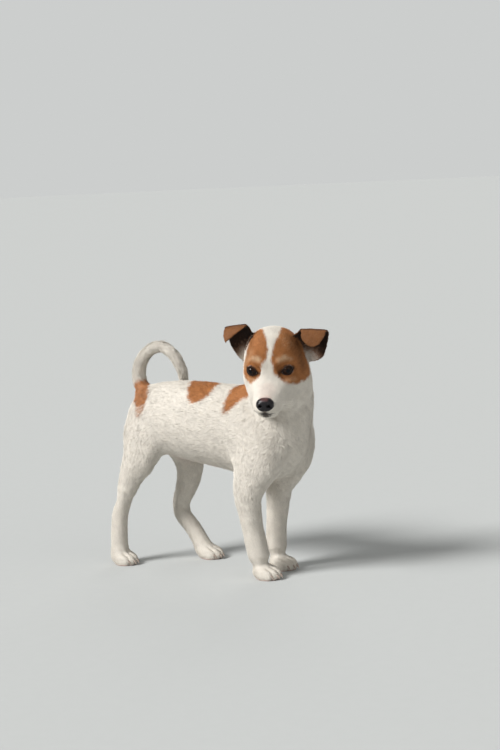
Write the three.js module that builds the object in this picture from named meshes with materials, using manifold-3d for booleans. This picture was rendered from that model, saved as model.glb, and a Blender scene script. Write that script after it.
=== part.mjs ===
// A standing puppy of about ten weeks, life size: short coat, tipped ears, a tail that curls over its back,
// and its head turned to its right. Millimetres, +Z up. The puppy faces -Y, its left side is +X, and z = 0 is
// the floor under its pads. The shapes are placed about a point under the withers, and all moved at the end
// so that the origin lies under the middle of the puppy.
//
// The flesh is one field of rounded masses and limbs that melt into each other, so its parts meet without
// steps. skinOf() turns the field into a closed mesh with the cell size that a part needs, and blocks part it
// with thin cuts. Ears, eyes and nose are shapes of their own.

import * as THREE from "three";
import { mergeVertices } from "three/addons/utils/BufferGeometryUtils.js";
import Module from "manifold-3d";

const wasm = await Module();
wasm.setup();

// ---------------------------------------------------------------- driving dimensions
const GAP = 0.3; // between pieces that meet
const BACK = 254; // floor to the level of the back
const BELLY = 142; // floor to the underside, behind the ribs
const STERNUM = 127; // floor to the breastbone
const CHEST_FRONT = -143; // the front of the breast, along y
const RIBS = 49; // half width of the rib cage
const HIPS = 38; // half width at the hips

const MIDDLE = [-22.61, -22.1]; // the middle of the width and the length, from under the withers

const HEAD = { at: [-56.7, -145.4, 280.1], turn: -63, nod: 11, tilt: 0.5 }; // at: midway between the eyes
const EYE = { radius: 8.6, apart: 43.2, back: 6.6 }; // back: from the line of the lids to the ball's centre
const FAR = 500; // further than any of the puppy reaches

// How fine each part's mesh is, along x, y and z.
const CELL = {
  trunk: [14, 18, 14],
  neck: [11, 11, 11],
  head: [7.4, 7.4, 7.4],
  nose: [3.6, 3.6, 3.6],
  tail: [7, 7, 7],
  thigh: [11, 13, 13],
  leg: [8, 8, 12],
  paw: [7, 7, 7],
};

// ---------------------------------------------------------------- the field
const melt = (a, b, reach) => {
  const near = Math.max(reach - Math.abs(a - b), 0) / reach;
  return Math.min(a, b) - (near * near * reach) / 4;
};

const { clamp, degToRad, lerp, smoothstep } = THREE.MathUtils;
const curveOf = (points) => new THREE.CatmullRomCurve3(points.map((p) => new THREE.Vector3(...p)));
const turned = (turn, at = [0, 0, 0]) =>
  new THREE.Matrix4()
    .makeRotationFromEuler(new THREE.Euler(...turn.map((v) => degToRad(v)), "ZXY"))
    .setPosition(...at);

/** An ellipsoid with half sizes along its own axes, turned by degrees about x, y and z. */
function mass(at, half, reach = 12, turn = [0, 0, 0]) {
  const back = turned(turn, at).invert();
  const q = new THREE.Vector3();
  const [a, b, c] = half;
  const far = (p) => {
    q.copy(p).applyMatrix4(back);
    const k = Math.hypot(q.x / a, q.y / b, q.z / c);
    const slope = Math.hypot(q.x / (a * a), q.y / (b * b), q.z / (c * c));
    return slope < 1e-9 ? -Math.min(a, b, c) : (k * (k - 1)) / slope;
  };
  return { reach, far };
}

/** Sections along a smooth curve. A station is x, y, z, half width along side, and half depth across it. */
function limb(stations, reach = 12, side = [1, 0, 0]) {
  const steps = (stations.length - 1) * 4;
  const spine = curveOf(stations.map(([x, y, z]) => [x, y, z]));
  const sizes = curveOf(stations.map(([, , , wide, deep]) => [wide, deep, 0]));
  const rings = Array.from({ length: steps + 1 }, (_, i) => {
    const along = spine.getTangent(i / steps);
    const size = sizes.getPoint(i / steps);
    const across = new THREE.Vector3(...side);
    across.addScaledVector(along, -along.dot(across)).normalize();
    const deep = new THREE.Vector3().crossVectors(along, across);
    return { at: spine.getPoint(i / steps), along, across, deep, wide: size.x, thick: size.y };
  });
  const from = new THREE.Vector3();
  const step = new THREE.Vector3();
  const far = (p) => {
    let best = Infinity;
    for (let i = 0; i < steps; i++) {
      const [a, b] = [rings[i], rings[i + 1]];
      step.subVectors(b.at, a.at);
      from.subVectors(p, a.at);
      const share = clamp(from.dot(step) / step.lengthSq(), 0, 1);
      from.addScaledVector(step, -share);
      const mix = (s, t) => s + (t - s) * share;
      const wide = mix(a.wide, b.wide);
      const thick = mix(a.thick, b.thick);
      const u = mix(from.dot(a.across), from.dot(b.across));
      const v = mix(from.dot(a.deep), from.dot(b.deep));
      const w = mix(from.dot(a.along), from.dot(b.along));
      const k = Math.hypot(u / wide, v / thick, w / Math.min(wide, thick));
      best = Math.min(best, k < 1e-6 ? -Math.min(wide, thick) : ((k - 1) * from.length()) / k);
    }
    return best;
  };
  return { reach, far };
}

const field = (masses) => (p) => masses.reduce((far, m) => melt(far, m.far(p), m.reach), 1e3);

// ---------------------------------------------------------------- field to mesh
const AXES = [0, 1, 2];
const CORNERS = [0, 1, 2, 3, 4, 5, 6, 7].map((c) => [c & 1, (c >> 1) & 1, (c >> 2) & 1]);
const EDGES = CORNERS.flatMap((_, i) => [1, 2, 4].filter((bit) => !(i & bit)).map((bit) => [i, i | bit]));

/** The closed surface of a field inside a box: one vertex in each cell that the surface crosses. */
function skinOf(far, low, high, cell) {
  const n = AXES.map((k) => Math.ceil((high[k] - low[k]) / cell[k]) + 1);
  const stride = [1, n[0], n[0] * n[1]];
  const index = (c) => c[0] * stride[0] + c[1] * stride[1] + c[2] * stride[2];
  const value = new Float32Array(n[0] * n[1] * n[2]);
  const each = ([across, along, up], visit) => {
    for (let k = 0; k < across * along * up; k++) {
      visit([k % across, Math.floor(k / across) % along, Math.floor(k / (across * along))]);
    }
  };
  const p = new THREE.Vector3();
  each(n, (c) => {
    const rim = AXES.some((m) => c[m] === 0 || c[m] === n[m] - 1);
    p.set(...AXES.map((m) => low[m] + c[m] * cell[m]));
    value[index(c)] = rim ? 1e3 : far(p);
  });
  // A grid face whose corners are in and out like a chequer would pinch the mesh, so one of them goes in.
  for (let pinched = true; pinched; ) {
    pinched = false;
    each(n.map((v) => v - 1), (c) => {
      for (const m of AXES) {
        const [s, t] = [stride[(m + 1) % 3], stride[(m + 2) % 3]];
        const face = [0, s, s + t, t].map((step) => index(c) + step);
        const [a, b, d, e] = face.map((k) => value[k] < 0);
        if (a !== d || b !== e || a === b) continue;
        const outside = face.filter((k) => value[k] >= 0);
        value[value[outside[0]] < value[outside[1]] ? outside[0] : outside[1]] = -1e-3;
        pinched = true;
      }
    });
  }
  const vertexOf = new Map();
  const places = [];
  each(n.map((v) => v - 1), (c) => {
    const at = CORNERS.map((corner) => value[index(AXES.map((m) => c[m] + corner[m]))]);
    const crossed = EDGES.filter(([a, b]) => at[a] < 0 !== at[b] < 0);
    if (!crossed.length) return;
    const middle = [0, 0, 0];
    for (const [a, b] of crossed) {
      const share = clamp(at[a] / (at[a] - at[b]), 0.05, 0.95);
      for (const m of AXES) middle[m] += lerp(CORNERS[a][m], CORNERS[b][m], share) / crossed.length;
    }
    vertexOf.set(index(c), places.length / 3);
    places.push(...AXES.map((m) => low[m] + (c[m] + middle[m]) * cell[m]));
  });
  settle(places, far, Math.min(...cell) / 2);
  const faces = [];
  each(n.map((v) => v - 1), (c) => {
    const here = value[index(c)] < 0;
    for (const m of AXES) {
      if (here === value[index(c) + stride[m]] < 0) continue;
      const [s, t] = [stride[(m + 1) % 3], stride[(m + 2) % 3]];
      const ring = [0, s, s + t, t].map((back) => vertexOf.get(index(c) - back));
      if (here) ring.reverse();
      faces.push(ring[0], ring[2], ring[1], ring[0], ring[3], ring[2]);
    }
  });
  return new THREE.BufferGeometry()
    .setAttribute("position", new THREE.Float32BufferAttribute(places, 3))
    .setIndex(faces);
}

/** Moves each vertex onto the field's surface, by at most the limit. */
function settle(places, far, limit) {
  const [p, start, slope] = [0, 1, 2].map(() => new THREE.Vector3());
  const tiny = 0.2;
  for (let i = 0; i < places.length; i += 3) {
    start.fromArray(places, i);
    p.copy(start);
    for (let turn = 0; turn < 4; turn++) {
      const here = far(p);
      for (const axis of ["x", "y", "z"]) {
        const was = p[axis];
        p[axis] = was + tiny;
        slope[axis] = (far(p) - here) / tiny;
        p[axis] = was;
      }
      p.addScaledVector(slope, -here / Math.max(slope.lengthSq(), 0.1));
    }
    p.sub(start).clampLength(0, limit).add(start).toArray(places, i);
  }
}

// ---------------------------------------------------------------- solids
function solid(geometry) {
  const bare = geometry.clone();
  bare.deleteAttribute("normal");
  bare.deleteAttribute("uv");
  const merged = mergeVertices(bare, 1e-3);
  const vertProperties = merged.attributes.position.array;
  const triVerts = new Uint32Array(merged.index.array);
  return new wasm.Manifold(new wasm.Mesh({ numProp: 3, vertProperties, triVerts }));
}

function geometryOf(made) {
  const { vertProperties, triVerts } = made.getMesh();
  return new THREE.BufferGeometry()
    .setAttribute("position", new THREE.BufferAttribute(vertProperties, 3))
    .setIndex(new THREE.BufferAttribute(triVerts, 1));
}

/** A box turned by degrees about a corner point, in a frame: every side reaches so far from that point. */
function block(at, low, high, turn = [0, 0, 0], frame = new THREE.Matrix4()) {
  const size = AXES.map((k) => high[k] - low[k]);
  const made = new THREE.BoxGeometry(...size).translate(...AXES.map((k) => (low[k] + high[k]) / 2));
  return solid(made.applyMatrix4(turned(turn, at)).applyMatrix4(frame));
}

// ---------------------------------------------------------------- trunk, neck and tail
const rise = (y, top, bottom, wide, x = 0) => [x, y, (top + bottom) / 2, wide, (top - bottom) / 2];

const trunkMasses = [
  limb(
    [
      rise(CHEST_FRONT + 16, 214, 150, 30),
      rise(CHEST_FRONT + 40, BACK - 10, STERNUM, 43),
      rise(CHEST_FRONT + 74, BACK - 1, STERNUM + 3, RIBS - 1),
      rise(-28, BACK - 1, BELLY - 4, RIBS),
      rise(14, BACK + 1, BELLY + 1, RIBS - 1),
      rise(56, BACK + 1, BELLY + 7, RIBS - 6),
      rise(90, BACK - 2, BELLY + 14, HIPS - 2),
      rise(112, BACK - 14, BELLY + 26, 28),
    ],
    14,
  ),
];

const neckMasses = [
  limb(
    [
      [1, -92, 200, 42, 46],
      [1, -112, 222, 41, 48],
      [-3, -122, 246, 39, 45],
      [-9, -127, 272, 38, 41],
    ],
    20,
  ),
];

const TAIL = [
  [0, 100, 226, 13, 12],
  [0, 118, 238, 11.5, 10.5],
  [1, 128, 254, 10, 10],
  [2, 127, 274, 9.2, 9.2],
  [6, 114, 293, 8.4, 8.4],
  [12, 95, 300, 8, 8],
  [18, 79, 289, 8, 8],
  [25, 71, 268, 7.6, 7.6],
  [35, 76, 249, 6.8, 6.8],
  [42, 87, 236, 5.4, 5.4],
];
const tailRoot = limb(TAIL.slice(0, 5), 8);
const tailCurl = limb(TAIL.slice(1), 8);

// ---------------------------------------------------------------- legs
const FORE_PAW = 16; // half width
const HIND_PAW = 14.5;

/** Four toes in a fan, and the pad behind them, all cut flat by the floor. */
function foot([x, y], wide) {
  const toes = [-1.5, -0.5, 0.5, 1.5].map((place) => {
    const reach = Math.abs(place) < 1 ? 13 : 8;
    return mass([x + place * wide * 0.5, y - reach, 7], [wide * 0.33, 12, 8.4], 5, [8, 0, -place * 6]);
  });
  return [...toes, mass([x, y + 4, 9], [wide * 0.82, 14, 11], 8)];
}

const FORE = (side, axis, paw) => [
  mass([side * 34, -112, 178], [19, 31, 36], 16), // point of the shoulder
  limb(
    [
      [side * 34, -110, 172, 18, 31],
      [side * 36, -103, 156, 20, 33],
      [side * 37, -92, 136, 18.5, 28],
      ...axis,
    ],
    10,
  ),
  ...foot(paw, FORE_PAW),
];

const HIND = (axis, paw) => [limb(axis, 12), ...foot(paw, HIND_PAW)];

const LEGS = {
  fore_right: FORE(
    -1,
    [
      [-37, -84, 112, 17, 20],
      [-36, -85, 90, 15.5, 16],
      [-33.5, -88, 60, 14.2, 14.4],
      [-32, -93, 32, 14.6, 14.8],
    ],
    [-31, -101],
  ),
  fore_left: FORE(
    1,
    [
      [36.5, -81, 112, 17, 19],
      [34, -79, 88, 15.5, 16],
      [29, -78, 56, 13.8, 14],
      [26, -79, 32, 14, 14.4],
    ],
    [24, -87],
  ),
  hind_right: HIND(
    [
      [-20, 96, 204, 18, 34],
      [-25, 99, 184, 21, 37],
      [-33, 106, 150, 18.5, 27],
      [-36, 118, 130, 15.5, 20.5],
      [-40, 128, 104, 13, 14.5],
      [-42, 134, 86, 10.5, 11],
      [-43, 140, 70, 10.2, 12.5],
      [-44, 143, 44, 11, 12],
      [-45, 143, 18, 12, 12],
    ],
    [-45, 138],
  ),
  hind_left: HIND(
    [
      [20, 88, 200, 18, 34],
      [25, 82, 178, 21, 36],
      [31, 74, 148, 18, 27],
      [34, 73, 128, 16.5, 21],
      [35, 81, 102, 14, 16.5],
      [36, 95, 76, 11.5, 13],
      [36, 93, 60, 11, 12.5],
      [36.5, 75, 40, 11.5, 11.5],
      [37, 60, 18, 12, 12],
    ],
    [37, 51],
  ),
};
const legMasses = Object.values(LEGS).flat();

// ---------------------------------------------------------------- head, in a frame of its own
// The head's frame has its origin midway between the eyes. Its y points backwards and its x to its left.
const headFrame = turned([HEAD.nod, HEAD.tilt, HEAD.turn], HEAD.at);
const intoHead = headFrame.clone().invert();
const SIDES = [-1, 1];

/**
 * The head's shapes are laid out with an adult's muzzle. This takes a place on the puppy's shorter muzzle to
 * its place on the long one: from MUZZLE.from to MUZZLE.to (along y) it gets shorter by MUZZLE.back in all,
 * and sinks by MUZZLE.down.
 */
const MUZZLE = { from: -6, to: -37.5, back: 10.5, down: 3.2 };
function onLongMuzzle(p) {
  const t = clamp((MUZZLE.from - p.y) / (MUZZLE.from - MUZZLE.to), 0, 1);
  const share = (t + smoothstep(t, 0, 1)) / 2;
  p.y -= MUZZLE.back * share;
  p.z += MUZZLE.down * share;
  return p;
}

const headMasses = [
  mass([0, 38, 12], [37.5, 37, 36.5], 8), // braincase
  mass([0, 18, 7], [28, 19.5, 21], 10), // forehead
  mass([0, 8, -2], [21, 13, 14], 12), // the slope between the eyes
  mass([4, 54, 8], [24, 20, 26], 14), // nape
  limb(
    [
      [0, 16, -10, 29, 20],
      [0, -6, -20.5, 23, 15.5],
      [0, -26, -26, 18.5, 15],
      [0, -44, -30, 15.5, 13.5],
      [0, -53, -31, 13.5, 12],
    ],
    8,
  ), // bridge and upper jaw
  limb(
    [
      [0, 32, -28, 27, 19],
      [0, 2, -35, 22, 14],
      [0, -24, -39, 16, 10],
      [0, -43, -41, 11.5, 7.5],
    ],
    8,
  ), // lower jaw
  ...SIDES.flatMap((s) => [
    mass([s * 21, 26, -14], [18, 24, 26], 12), // cheek
    mass([s * 16.5, 7, -36], [13, 20, 19], 8), // jowl
    mass([s * 9, -34, -33], [10.5, 19, 11], 6), // lip
  ]),
];
const orbits = field(SIDES.map((s) => mass([s * 24.8, -5, -1], [9.5, 9, 7.5], 1)));
const solidHead = field(headMasses);
const headField = (p) => -melt(-solidHead(p), orbits(p), 8);
const inHead = new THREE.Vector3();
const headMass = { reach: 10, far: (p) => headField(onLongMuzzle(inHead.copy(p).applyMatrix4(intoHead))) };

const body = field([...trunkMasses, ...neckMasses, tailRoot, ...legMasses, headMass]);

// ---------------------------------------------------------------- eyes, nose and ears
const eyeAt = (s) => [(s * EYE.apart) / 2, EYE.back, 0];
const eyeball = (s, grown = 0) =>
  solid(new THREE.IcosahedronGeometry(EYE.radius + grown, 2).translate(...eyeAt(s)).applyMatrix4(headFrame));

/** The nose leather, with a nostril and its side slit cut into each half. */
const NOSE = { at: [0, -57 + MUZZLE.back, -26 - MUZZLE.down], half: [10.6, 8, 8.6] };
const noseLeather = field([
  mass(NOSE.at, NOSE.half, 4),
  mass([0, NOSE.at[1] + 1, NOSE.at[2] + 3], [7.5, 8, 6], 4),
]);
const nostrils = field(SIDES.flatMap((s) => [
  mass([s * 5.2, NOSE.at[1] - 7.5, NOSE.at[2] - 0.5], [2.5, 3, 2.1], 2),
  mass([s * 8.8, NOSE.at[1] - 5, NOSE.at[2] - 2.5], [2.6, 3, 1.1], 2, [0, s * 22, 0]),
]));
const nose = (p) => Math.max(noseLeather(p), -nostrils(p));

/**
 * An ear is a leaf between two edges, given from its root to its tip: inner edge, outer edge, and how far the
 * middle bows backwards. It stands up and out from the skull, folds over, and its tip hangs forward.
 */
const EAR = { thick: 3.4, across: 5, along: 12 };
const EAR_ROWS = [
  { inner: [19, 38, 27], outer: [38, 45, -4], bow: 7 },
  { inner: [24, 35, 37], outer: [46, 43, 6], bow: 8 },
  { inner: [29, 32, 45], outer: [56, 40, 23], bow: 9 },
  { inner: [33, 30, 51], outer: [63, 36, 46], bow: 5 },
  { inner: [34, 26, 52], outer: [64, 31, 49], bow: 1 },
  { inner: [41, 22, 46], outer: [64, 26, 41], bow: -1 },
  { inner: [54, 20, 35], outer: [61, 22, 33], bow: 0 },
];
const FORWARD = new THREE.Vector3(0, 1, 0);
const EAR_ROOT = new THREE.Vector3(30, 38, 18);
// lean: outwards, in degrees. sink: the inner and the outer edge down. spread: the outer edge out. belly: its
// low half out and down. round: the tip wider and rounder.
const EAR_POSE = {
  left: { lean: 10, sink: [5, 0], spread: 7, belly: 8.5, round: 12 },
  right: { lean: -6, sink: [-2, 3], spread: 0, belly: 0, round: 0 },
};

function ear(s) {
  const root = EAR_ROOT.clone().setX(s * EAR_ROOT.x);
  const pose = s > 0 ? EAR_POSE.left : EAR_POSE.right;
  const edges = ["inner", "outer"].map((k) => curveOf(EAR_ROWS.map((r) => [s * r[k][0], r[k][1], r[k][2]])));
  const bows = curveOf(EAR_ROWS.map((r, i) => [r.bow, i, 0]));
  const leaf = (u, v) => {
    const [a, b] = edges.map((e) => e.getPoint(u));
    const place = a.lerp(b, v);
    place.y += bows.getPoint(u).x * (1 - (2 * v - 1) ** 2);
    place.z -= lerp(...pose.sink, v) * smoothstep(u, 0, 0.5);
    place.x += s * pose.spread * smoothstep(u, 0, 0.2) * smoothstep(1 - u, 0, 0.6) * v;
    const low = pose.belly * smoothstep(u, 0.04, 0.28) * smoothstep(0.6 - u, 0, 0.4) * v;
    const tip = pose.round * smoothstep(u, 0.7, 1);
    place.x += s * (0.85 * low - tip * (1 - v));
    place.z += tip * (0.3 * (1 - v) - 0.3 * Math.sin(Math.PI * v)) - 0.55 * low;
    return place.sub(root).applyAxisAngle(FORWARD, s * degToRad(pose.lean)).add(root);
  };
  const { across, along, thick } = EAR;
  const places = [];
  const faces = [];
  const [du, dv] = [new THREE.Vector3(), new THREE.Vector3()];
  const tiny = 1e-3;
  for (const face of [1, -1]) {
    for (let i = 0; i <= along; i++) {
      for (let j = 0; j <= across; j++) {
        const [u, v] = [i / along, j / across];
        const [u0, v0] = [Math.min(u, 1 - tiny), Math.min(v, 1 - tiny)];
        du.subVectors(leaf(u0 + tiny, v0), leaf(u0, v0));
        dv.subVectors(leaf(u0, v0 + tiny), leaf(u0, v0));
        const out = dv.cross(du).setLength((s * face * thick) / 2);
        places.push(...leaf(u, v).add(out).toArray());
      }
    }
  }
  const row = across + 1;
  const sheet = (along + 1) * row;
  const quad = (a, b, c, d) => faces.push(...(s > 0 ? [a, b, c, a, c, d] : [a, c, b, a, d, c]));
  for (let i = 0; i < along; i++) {
    for (let j = 0; j < across; j++) {
      const k = i * row + j;
      quad(k, k + 1, k + 1 + row, k + row);
      quad(sheet + k, sheet + k + row, sheet + k + 1 + row, sheet + k + 1);
    }
  }
  const rim = [];
  for (let j = 0; j < across; j++) rim.push(j);
  for (let i = 0; i < along; i++) rim.push(i * row + across);
  for (let j = across; j > 0; j--) rim.push(along * row + j);
  for (let i = along; i > 0; i--) rim.push(i * row);
  rim.forEach((k, i) => {
    const next = rim[(i + 1) % rim.length];
    quad(k, sheet + k, sheet + next, next);
  });
  return solid(
    new THREE.BufferGeometry()
      .setAttribute("position", new THREE.Float32BufferAttribute(places, 3))
      .setIndex(faces)
      .applyMatrix4(headFrame),
  );
}

// ---------------------------------------------------------------- dividing the body
const root = new THREE.Group();
const WHITE = 0xece6dc;
const TAN = 0xb87342;
const DARK = 0x17120f;

function add(name, made, color = WHITE, roughness = 0.9) {
  const geometry = geometryOf(made).translate(-MIDDLE[0], -MIDDLE[1], 0);
  const mesh = new THREE.Mesh(geometry, new THREE.MeshStandardMaterial({ color, roughness, metalness: 0 }));
  mesh.name = name;
  root.add(mesh);
}

const flesh = (low, high, cell, far = body) => solid(skinOf(far, low, high, cell));
const grownBody = (p) => body(p) - GAP;
/** A block that holds all that lies beyond a cut, and the same block grown by the gap. */
const cut = (at, low, high, turn, frame) =>
  [0, GAP].map((grown) => {
    const [from, to] = [low.map((v) => v - grown), high.map((v) => v + grown)];
    return block(at, from, to, turn, frame);
  });
const ABOVE = [
  [-FAR, -FAR, 0],
  [FAR, FAR, FAR],
];
const ALL = [-FAR, -FAR, -FAR];

const headCut = cut([0, 52, -16], ALL, [FAR, 0, FAR], [-28, 0, 0], headFrame);
const throatCut = cut([0, 0, -57], ...ABOVE, [14, 0, 0], headFrame);
const neckCut = cut([0, -100, 228], ...ABOVE, [30, 0, 0]);
const tailCut = cut([0, 116, 236], ...ABOVE, [-50, 0, 0]);

// Head, and what is set into it.
const eyes = SIDES.map((s) => eyeball(s));
const sockets = SIDES.map((s) => eyeball(s, GAP));
const inHeadFrame = (far, low, high, cell) => solid(skinOf(far, low, high, cell).applyMatrix4(headFrame));
const NOSE_BOX = [[-15, -60.5, -43.5], [15, -34.5, -13], CELL.nose];
const noseSolid = inHeadFrame(nose, ...NOSE_BOX);
const noseBed = inHeadFrame((p) => noseLeather(p) - GAP, ...NOSE_BOX);
const mouth = cut([0, -16, -38], ALL, [FAR, 0, 0], [9, 0, 0], headFrame);
const HEAD_BOX = [[-140, -225, 205], [30, -60, 345], CELL.head];
const skull = flesh(...HEAD_BOX)
  .intersect(headCut[0])
  .intersect(throatCut[0])
  .subtract(sockets[0])
  .subtract(sockets[1])
  .subtract(noseBed);
add("head", skull.subtract(mouth[1]));
add("lower_jaw", skull.intersect(mouth[0]));
add("nose", noseSolid, DARK, 0.3);
const headBed = flesh(...HEAD_BOX, grownBody);
SIDES.forEach((s, i) => {
  const side = s > 0 ? "left" : "right";
  add("eye_" + side, eyes[i], DARK, 0.1);
  add("ear_" + side, ear(s).subtract(headBed), TAN);
});

// Neck, trunk and tail. The tail is a base, the two halves of its curl, and a tip.
const heads = headCut[1].intersect(throatCut[1]);
add("neck", flesh([-90, -185, 180], [60, -40, 345], CELL.neck).intersect(neckCut[0]).subtract(heads));
const ELBOW = 122;
const CROTCH = 10; // half width of the trunk between the thighs
const elbowCut = cut([0, 0, ELBOW], ALL, [FAR, FAR, 0]);
const thighCut = (s) => {
  const [from, to] = s > 0 ? [CROTCH, FAR] : [-FAR, -CROTCH];
  return cut([0, 100, 172], [from, -80, -FAR], [to, FAR, 0], [27, 0, 0]);
};
const trunk = SIDES.map(thighCut)
  .concat([neckCut, tailCut, elbowCut])
  .reduce((left, away) => left.subtract(away[1]), flesh([-80, -180, 100], [80, 165, 270], CELL.trunk));
add("trunk", trunk);

const tailBlock = (low, high) => block([0, 97, 272], low, high);
const FRONT = tailBlock(ALL, [FAR, 0, FAR]);
const BEHIND = tailBlock([-FAR, GAP, -FAR], [FAR, FAR, FAR]);
const TOP = tailBlock([-FAR, -FAR, GAP], [FAR, FAR, FAR]);
const BOTTOM = tailBlock(ALL, [FAR, FAR, 0]);
const rooted = flesh([-24, 97, 200], [30, 165, 290], CELL.tail).intersect(tailCut[0]);
const curled = flesh([-24, 50, 215], [60, 165, 326], CELL.tail, field([tailCurl]));
add("tail_base", rooted.intersect(BEHIND).intersect(BOTTOM));
add("tail_curl_back", curled.intersect(BEHIND).intersect(TOP));
add("tail_curl_front", curled.intersect(FRONT).intersect(TOP));
add("tail_tip", curled.intersect(FRONT).intersect(BOTTOM));

// Each leg is parted at the wrist or hock, and a hind leg also under the knee.
const WRIST = 34;
const HOCK = 62;
const KNEE = 114;
const OUTER = 84; // the legs lie between the middle and this
const slab = (low, high) => block([0, 0, 0], [-FAR, -FAR, low], [FAR, FAR, high]);
for (const s of SIDES) {
  const side = s > 0 ? "left" : "right";
  const [a, b] = s > 0 ? [0, OUTER] : [-OUTER, 0];
  const leg = (from, to) => (low, high, cell) =>
    flesh([a, from, low - 20], [b, to, high + 20], cell).intersect(slab(low, high));
  const fore = leg(-175, -20);
  const hind = leg(0, 185);
  add("foreleg_" + side, fore(WRIST + GAP, ELBOW, CELL.leg));
  add("forepaw_" + side, fore(0, WRIST, CELL.paw));
  add("thigh_" + side, hind(KNEE + GAP, 235, CELL.thigh).intersect(thighCut(s)[0]));
  add("shank_" + side, hind(HOCK + GAP, KNEE, CELL.leg));
  add("hindpaw_" + side, hind(0, HOCK, CELL.paw));
}

export default root;
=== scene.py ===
"""A standing puppy of about ten weeks, life size, with a short plush coat, tipped ears and a curled tail.

Places on the body are millimetres from a point on the floor under the withers, as place() says. Places on
the head are millimetres in the head's own frame, whose origin lies midway between the eyes: x to the
puppy's left, y backwards and z up.
"""

import math
from contextlib import contextmanager

import bpy
import numpy as np
from mathutils import Matrix, Vector
from mathutils.bvhtree import BVHTree


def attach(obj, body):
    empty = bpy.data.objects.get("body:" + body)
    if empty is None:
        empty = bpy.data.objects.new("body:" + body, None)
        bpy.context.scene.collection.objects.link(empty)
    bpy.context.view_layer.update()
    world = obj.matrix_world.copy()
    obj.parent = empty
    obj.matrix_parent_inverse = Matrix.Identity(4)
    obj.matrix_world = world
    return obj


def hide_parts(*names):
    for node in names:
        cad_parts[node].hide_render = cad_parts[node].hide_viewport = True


bl_info = {
    "name": "Standing Puppy",
    "version": (1, 0, 0),
    "blender": (4, 5, 0),
    "location": "3D View > Sidebar > Puppy",
    "description": "Skin, coat, eyes, nose, lips and claws of a standing puppy, and its stage",
    "category": "Add Mesh",
}

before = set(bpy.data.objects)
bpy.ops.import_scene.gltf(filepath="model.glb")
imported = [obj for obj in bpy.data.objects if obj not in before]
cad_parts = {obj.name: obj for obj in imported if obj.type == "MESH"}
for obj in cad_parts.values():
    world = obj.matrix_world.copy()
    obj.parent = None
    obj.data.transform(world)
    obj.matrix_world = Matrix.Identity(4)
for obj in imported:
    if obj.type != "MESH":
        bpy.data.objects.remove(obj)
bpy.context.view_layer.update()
MM = 0.001

# ---------------------------------------- places
WITHERS = Vector((0.02261, 0.0221, 0.0))  # on the floor, under the withers
HEAD_AT = Vector((-56.7, -145.4, 280.1))
HEAD_TURN, HEAD_NOD, HEAD_TILT = -63.0, 11.0, 0.5


def rotation(axis, degrees):
    return Matrix.Rotation(math.radians(degrees), 4, axis)


BODY = Matrix.Translation(WITHERS) @ Matrix.Scale(MM, 4)
HEAD = (
    BODY
    @ Matrix.Translation(HEAD_AT)
    @ rotation("Z", HEAD_TURN)
    @ rotation("X", HEAD_NOD)
    @ rotation("Y", HEAD_TILT)
)
SIDES = (-1, 1)
SIDE_NAMES = {-1: "right", 1: "left"}


def smoothstep(value, low, high):
    t = np.clip((value - low) / (high - low), 0, 1)
    return t * t * (3 - 2 * t)


# The head is laid out with an adult's muzzle. Between these places along y the puppy's is shorter, by the
# first number in all, and sinks by the second.
MUZZLE_FROM, MUZZLE_TO = -6.0, -37.5
SHORTER, LOWER = 10.5, 3.2


def muzzle_share(y):
    """How much of the shortening has been reached at this y on the puppy's head, from 0 to 1."""
    t = np.clip((MUZZLE_FROM - y) / (MUZZLE_FROM - MUZZLE_TO), 0, 1)
    return (t + smoothstep(t, 0, 1)) / 2


def on_short_muzzle(points):
    """Places on the head as laid out, as an array, moved to where they are on the puppy's head."""
    real = np.linspace(-90, 90, 721)
    laid_out = real - SHORTER * muzzle_share(real)
    y = np.interp(points[..., 1], laid_out, real)
    return np.stack([points[..., 0], y, points[..., 2] - LOWER * muzzle_share(y)], -1)


def moved(points, matrix):
    """Places, as an array, taken through a matrix."""
    matrix = np.array(matrix)
    return points @ matrix[:3, :3].T + matrix[:3, 3]


def on_scene(points, here=BODY):
    """Places in millimetres on the body or the head, as an array, in the scene."""
    return moved(on_short_muzzle(points) if here is HEAD else points, here)


def place(x, y, z, here=BODY):
    """A place in the scene, from millimetres on the body or, with here=HEAD, on the head."""
    return Vector(on_scene(np.array((x, y, z), float), here))


def within(points, here=BODY):
    """Places in the scene, as an array, in the millimetres of the body or the head."""
    found = moved(points, here.inverted())
    if here is HEAD:
        share = muzzle_share(found[..., 1])
        found = found + np.stack([0 * share, -SHORTER * share, LOWER * share], -1)
    return found


def unit(vectors):
    """The same directions, one long."""
    return vectors / np.linalg.norm(vectors, axis=-1, keepdims=True).clip(1e-12)


def towards(directions, here=BODY):
    """Directions on the body or head, as an array, turned to the scene's axes, one metre long."""
    return unit(directions @ np.array(here)[:3, :3].T)


def curve_through(points, count):
    """Points evenly spaced in parameter on a smooth curve through the given ones (Catmull-Rom)."""
    p = np.array(points, float)
    p = np.vstack([2 * p[0] - p[1], p, 2 * p[-1] - p[-2]])
    u = np.linspace(0, len(points) - 1, count)
    i = np.minimum(u.astype(int), len(points) - 2)
    t = (u - i)[:, None]
    a, b, c, d = p[i], p[i + 1], p[i + 2], p[i + 3]
    return 0.5 * (2 * b + (c - a) * t + (2 * a - 5 * b + 4 * c - d) * t**2 + (3 * b - a - 3 * c + d) * t**3)


def bell(value, width):
    """1 at nought, falling away smoothly on both sides."""
    return np.exp(-((value / width) ** 2))


# ---------------------------------------- settings
def colour_setting(name, use, default):
    words = "Colour of " + use
    return bpy.props.FloatVectorProperty(name=name, description=words, default=default, subtype="COLOR")


def angle_setting(name, use, degrees):
    return bpy.props.FloatProperty(name=name, description=use, default=math.radians(degrees), subtype="ANGLE")


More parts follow.
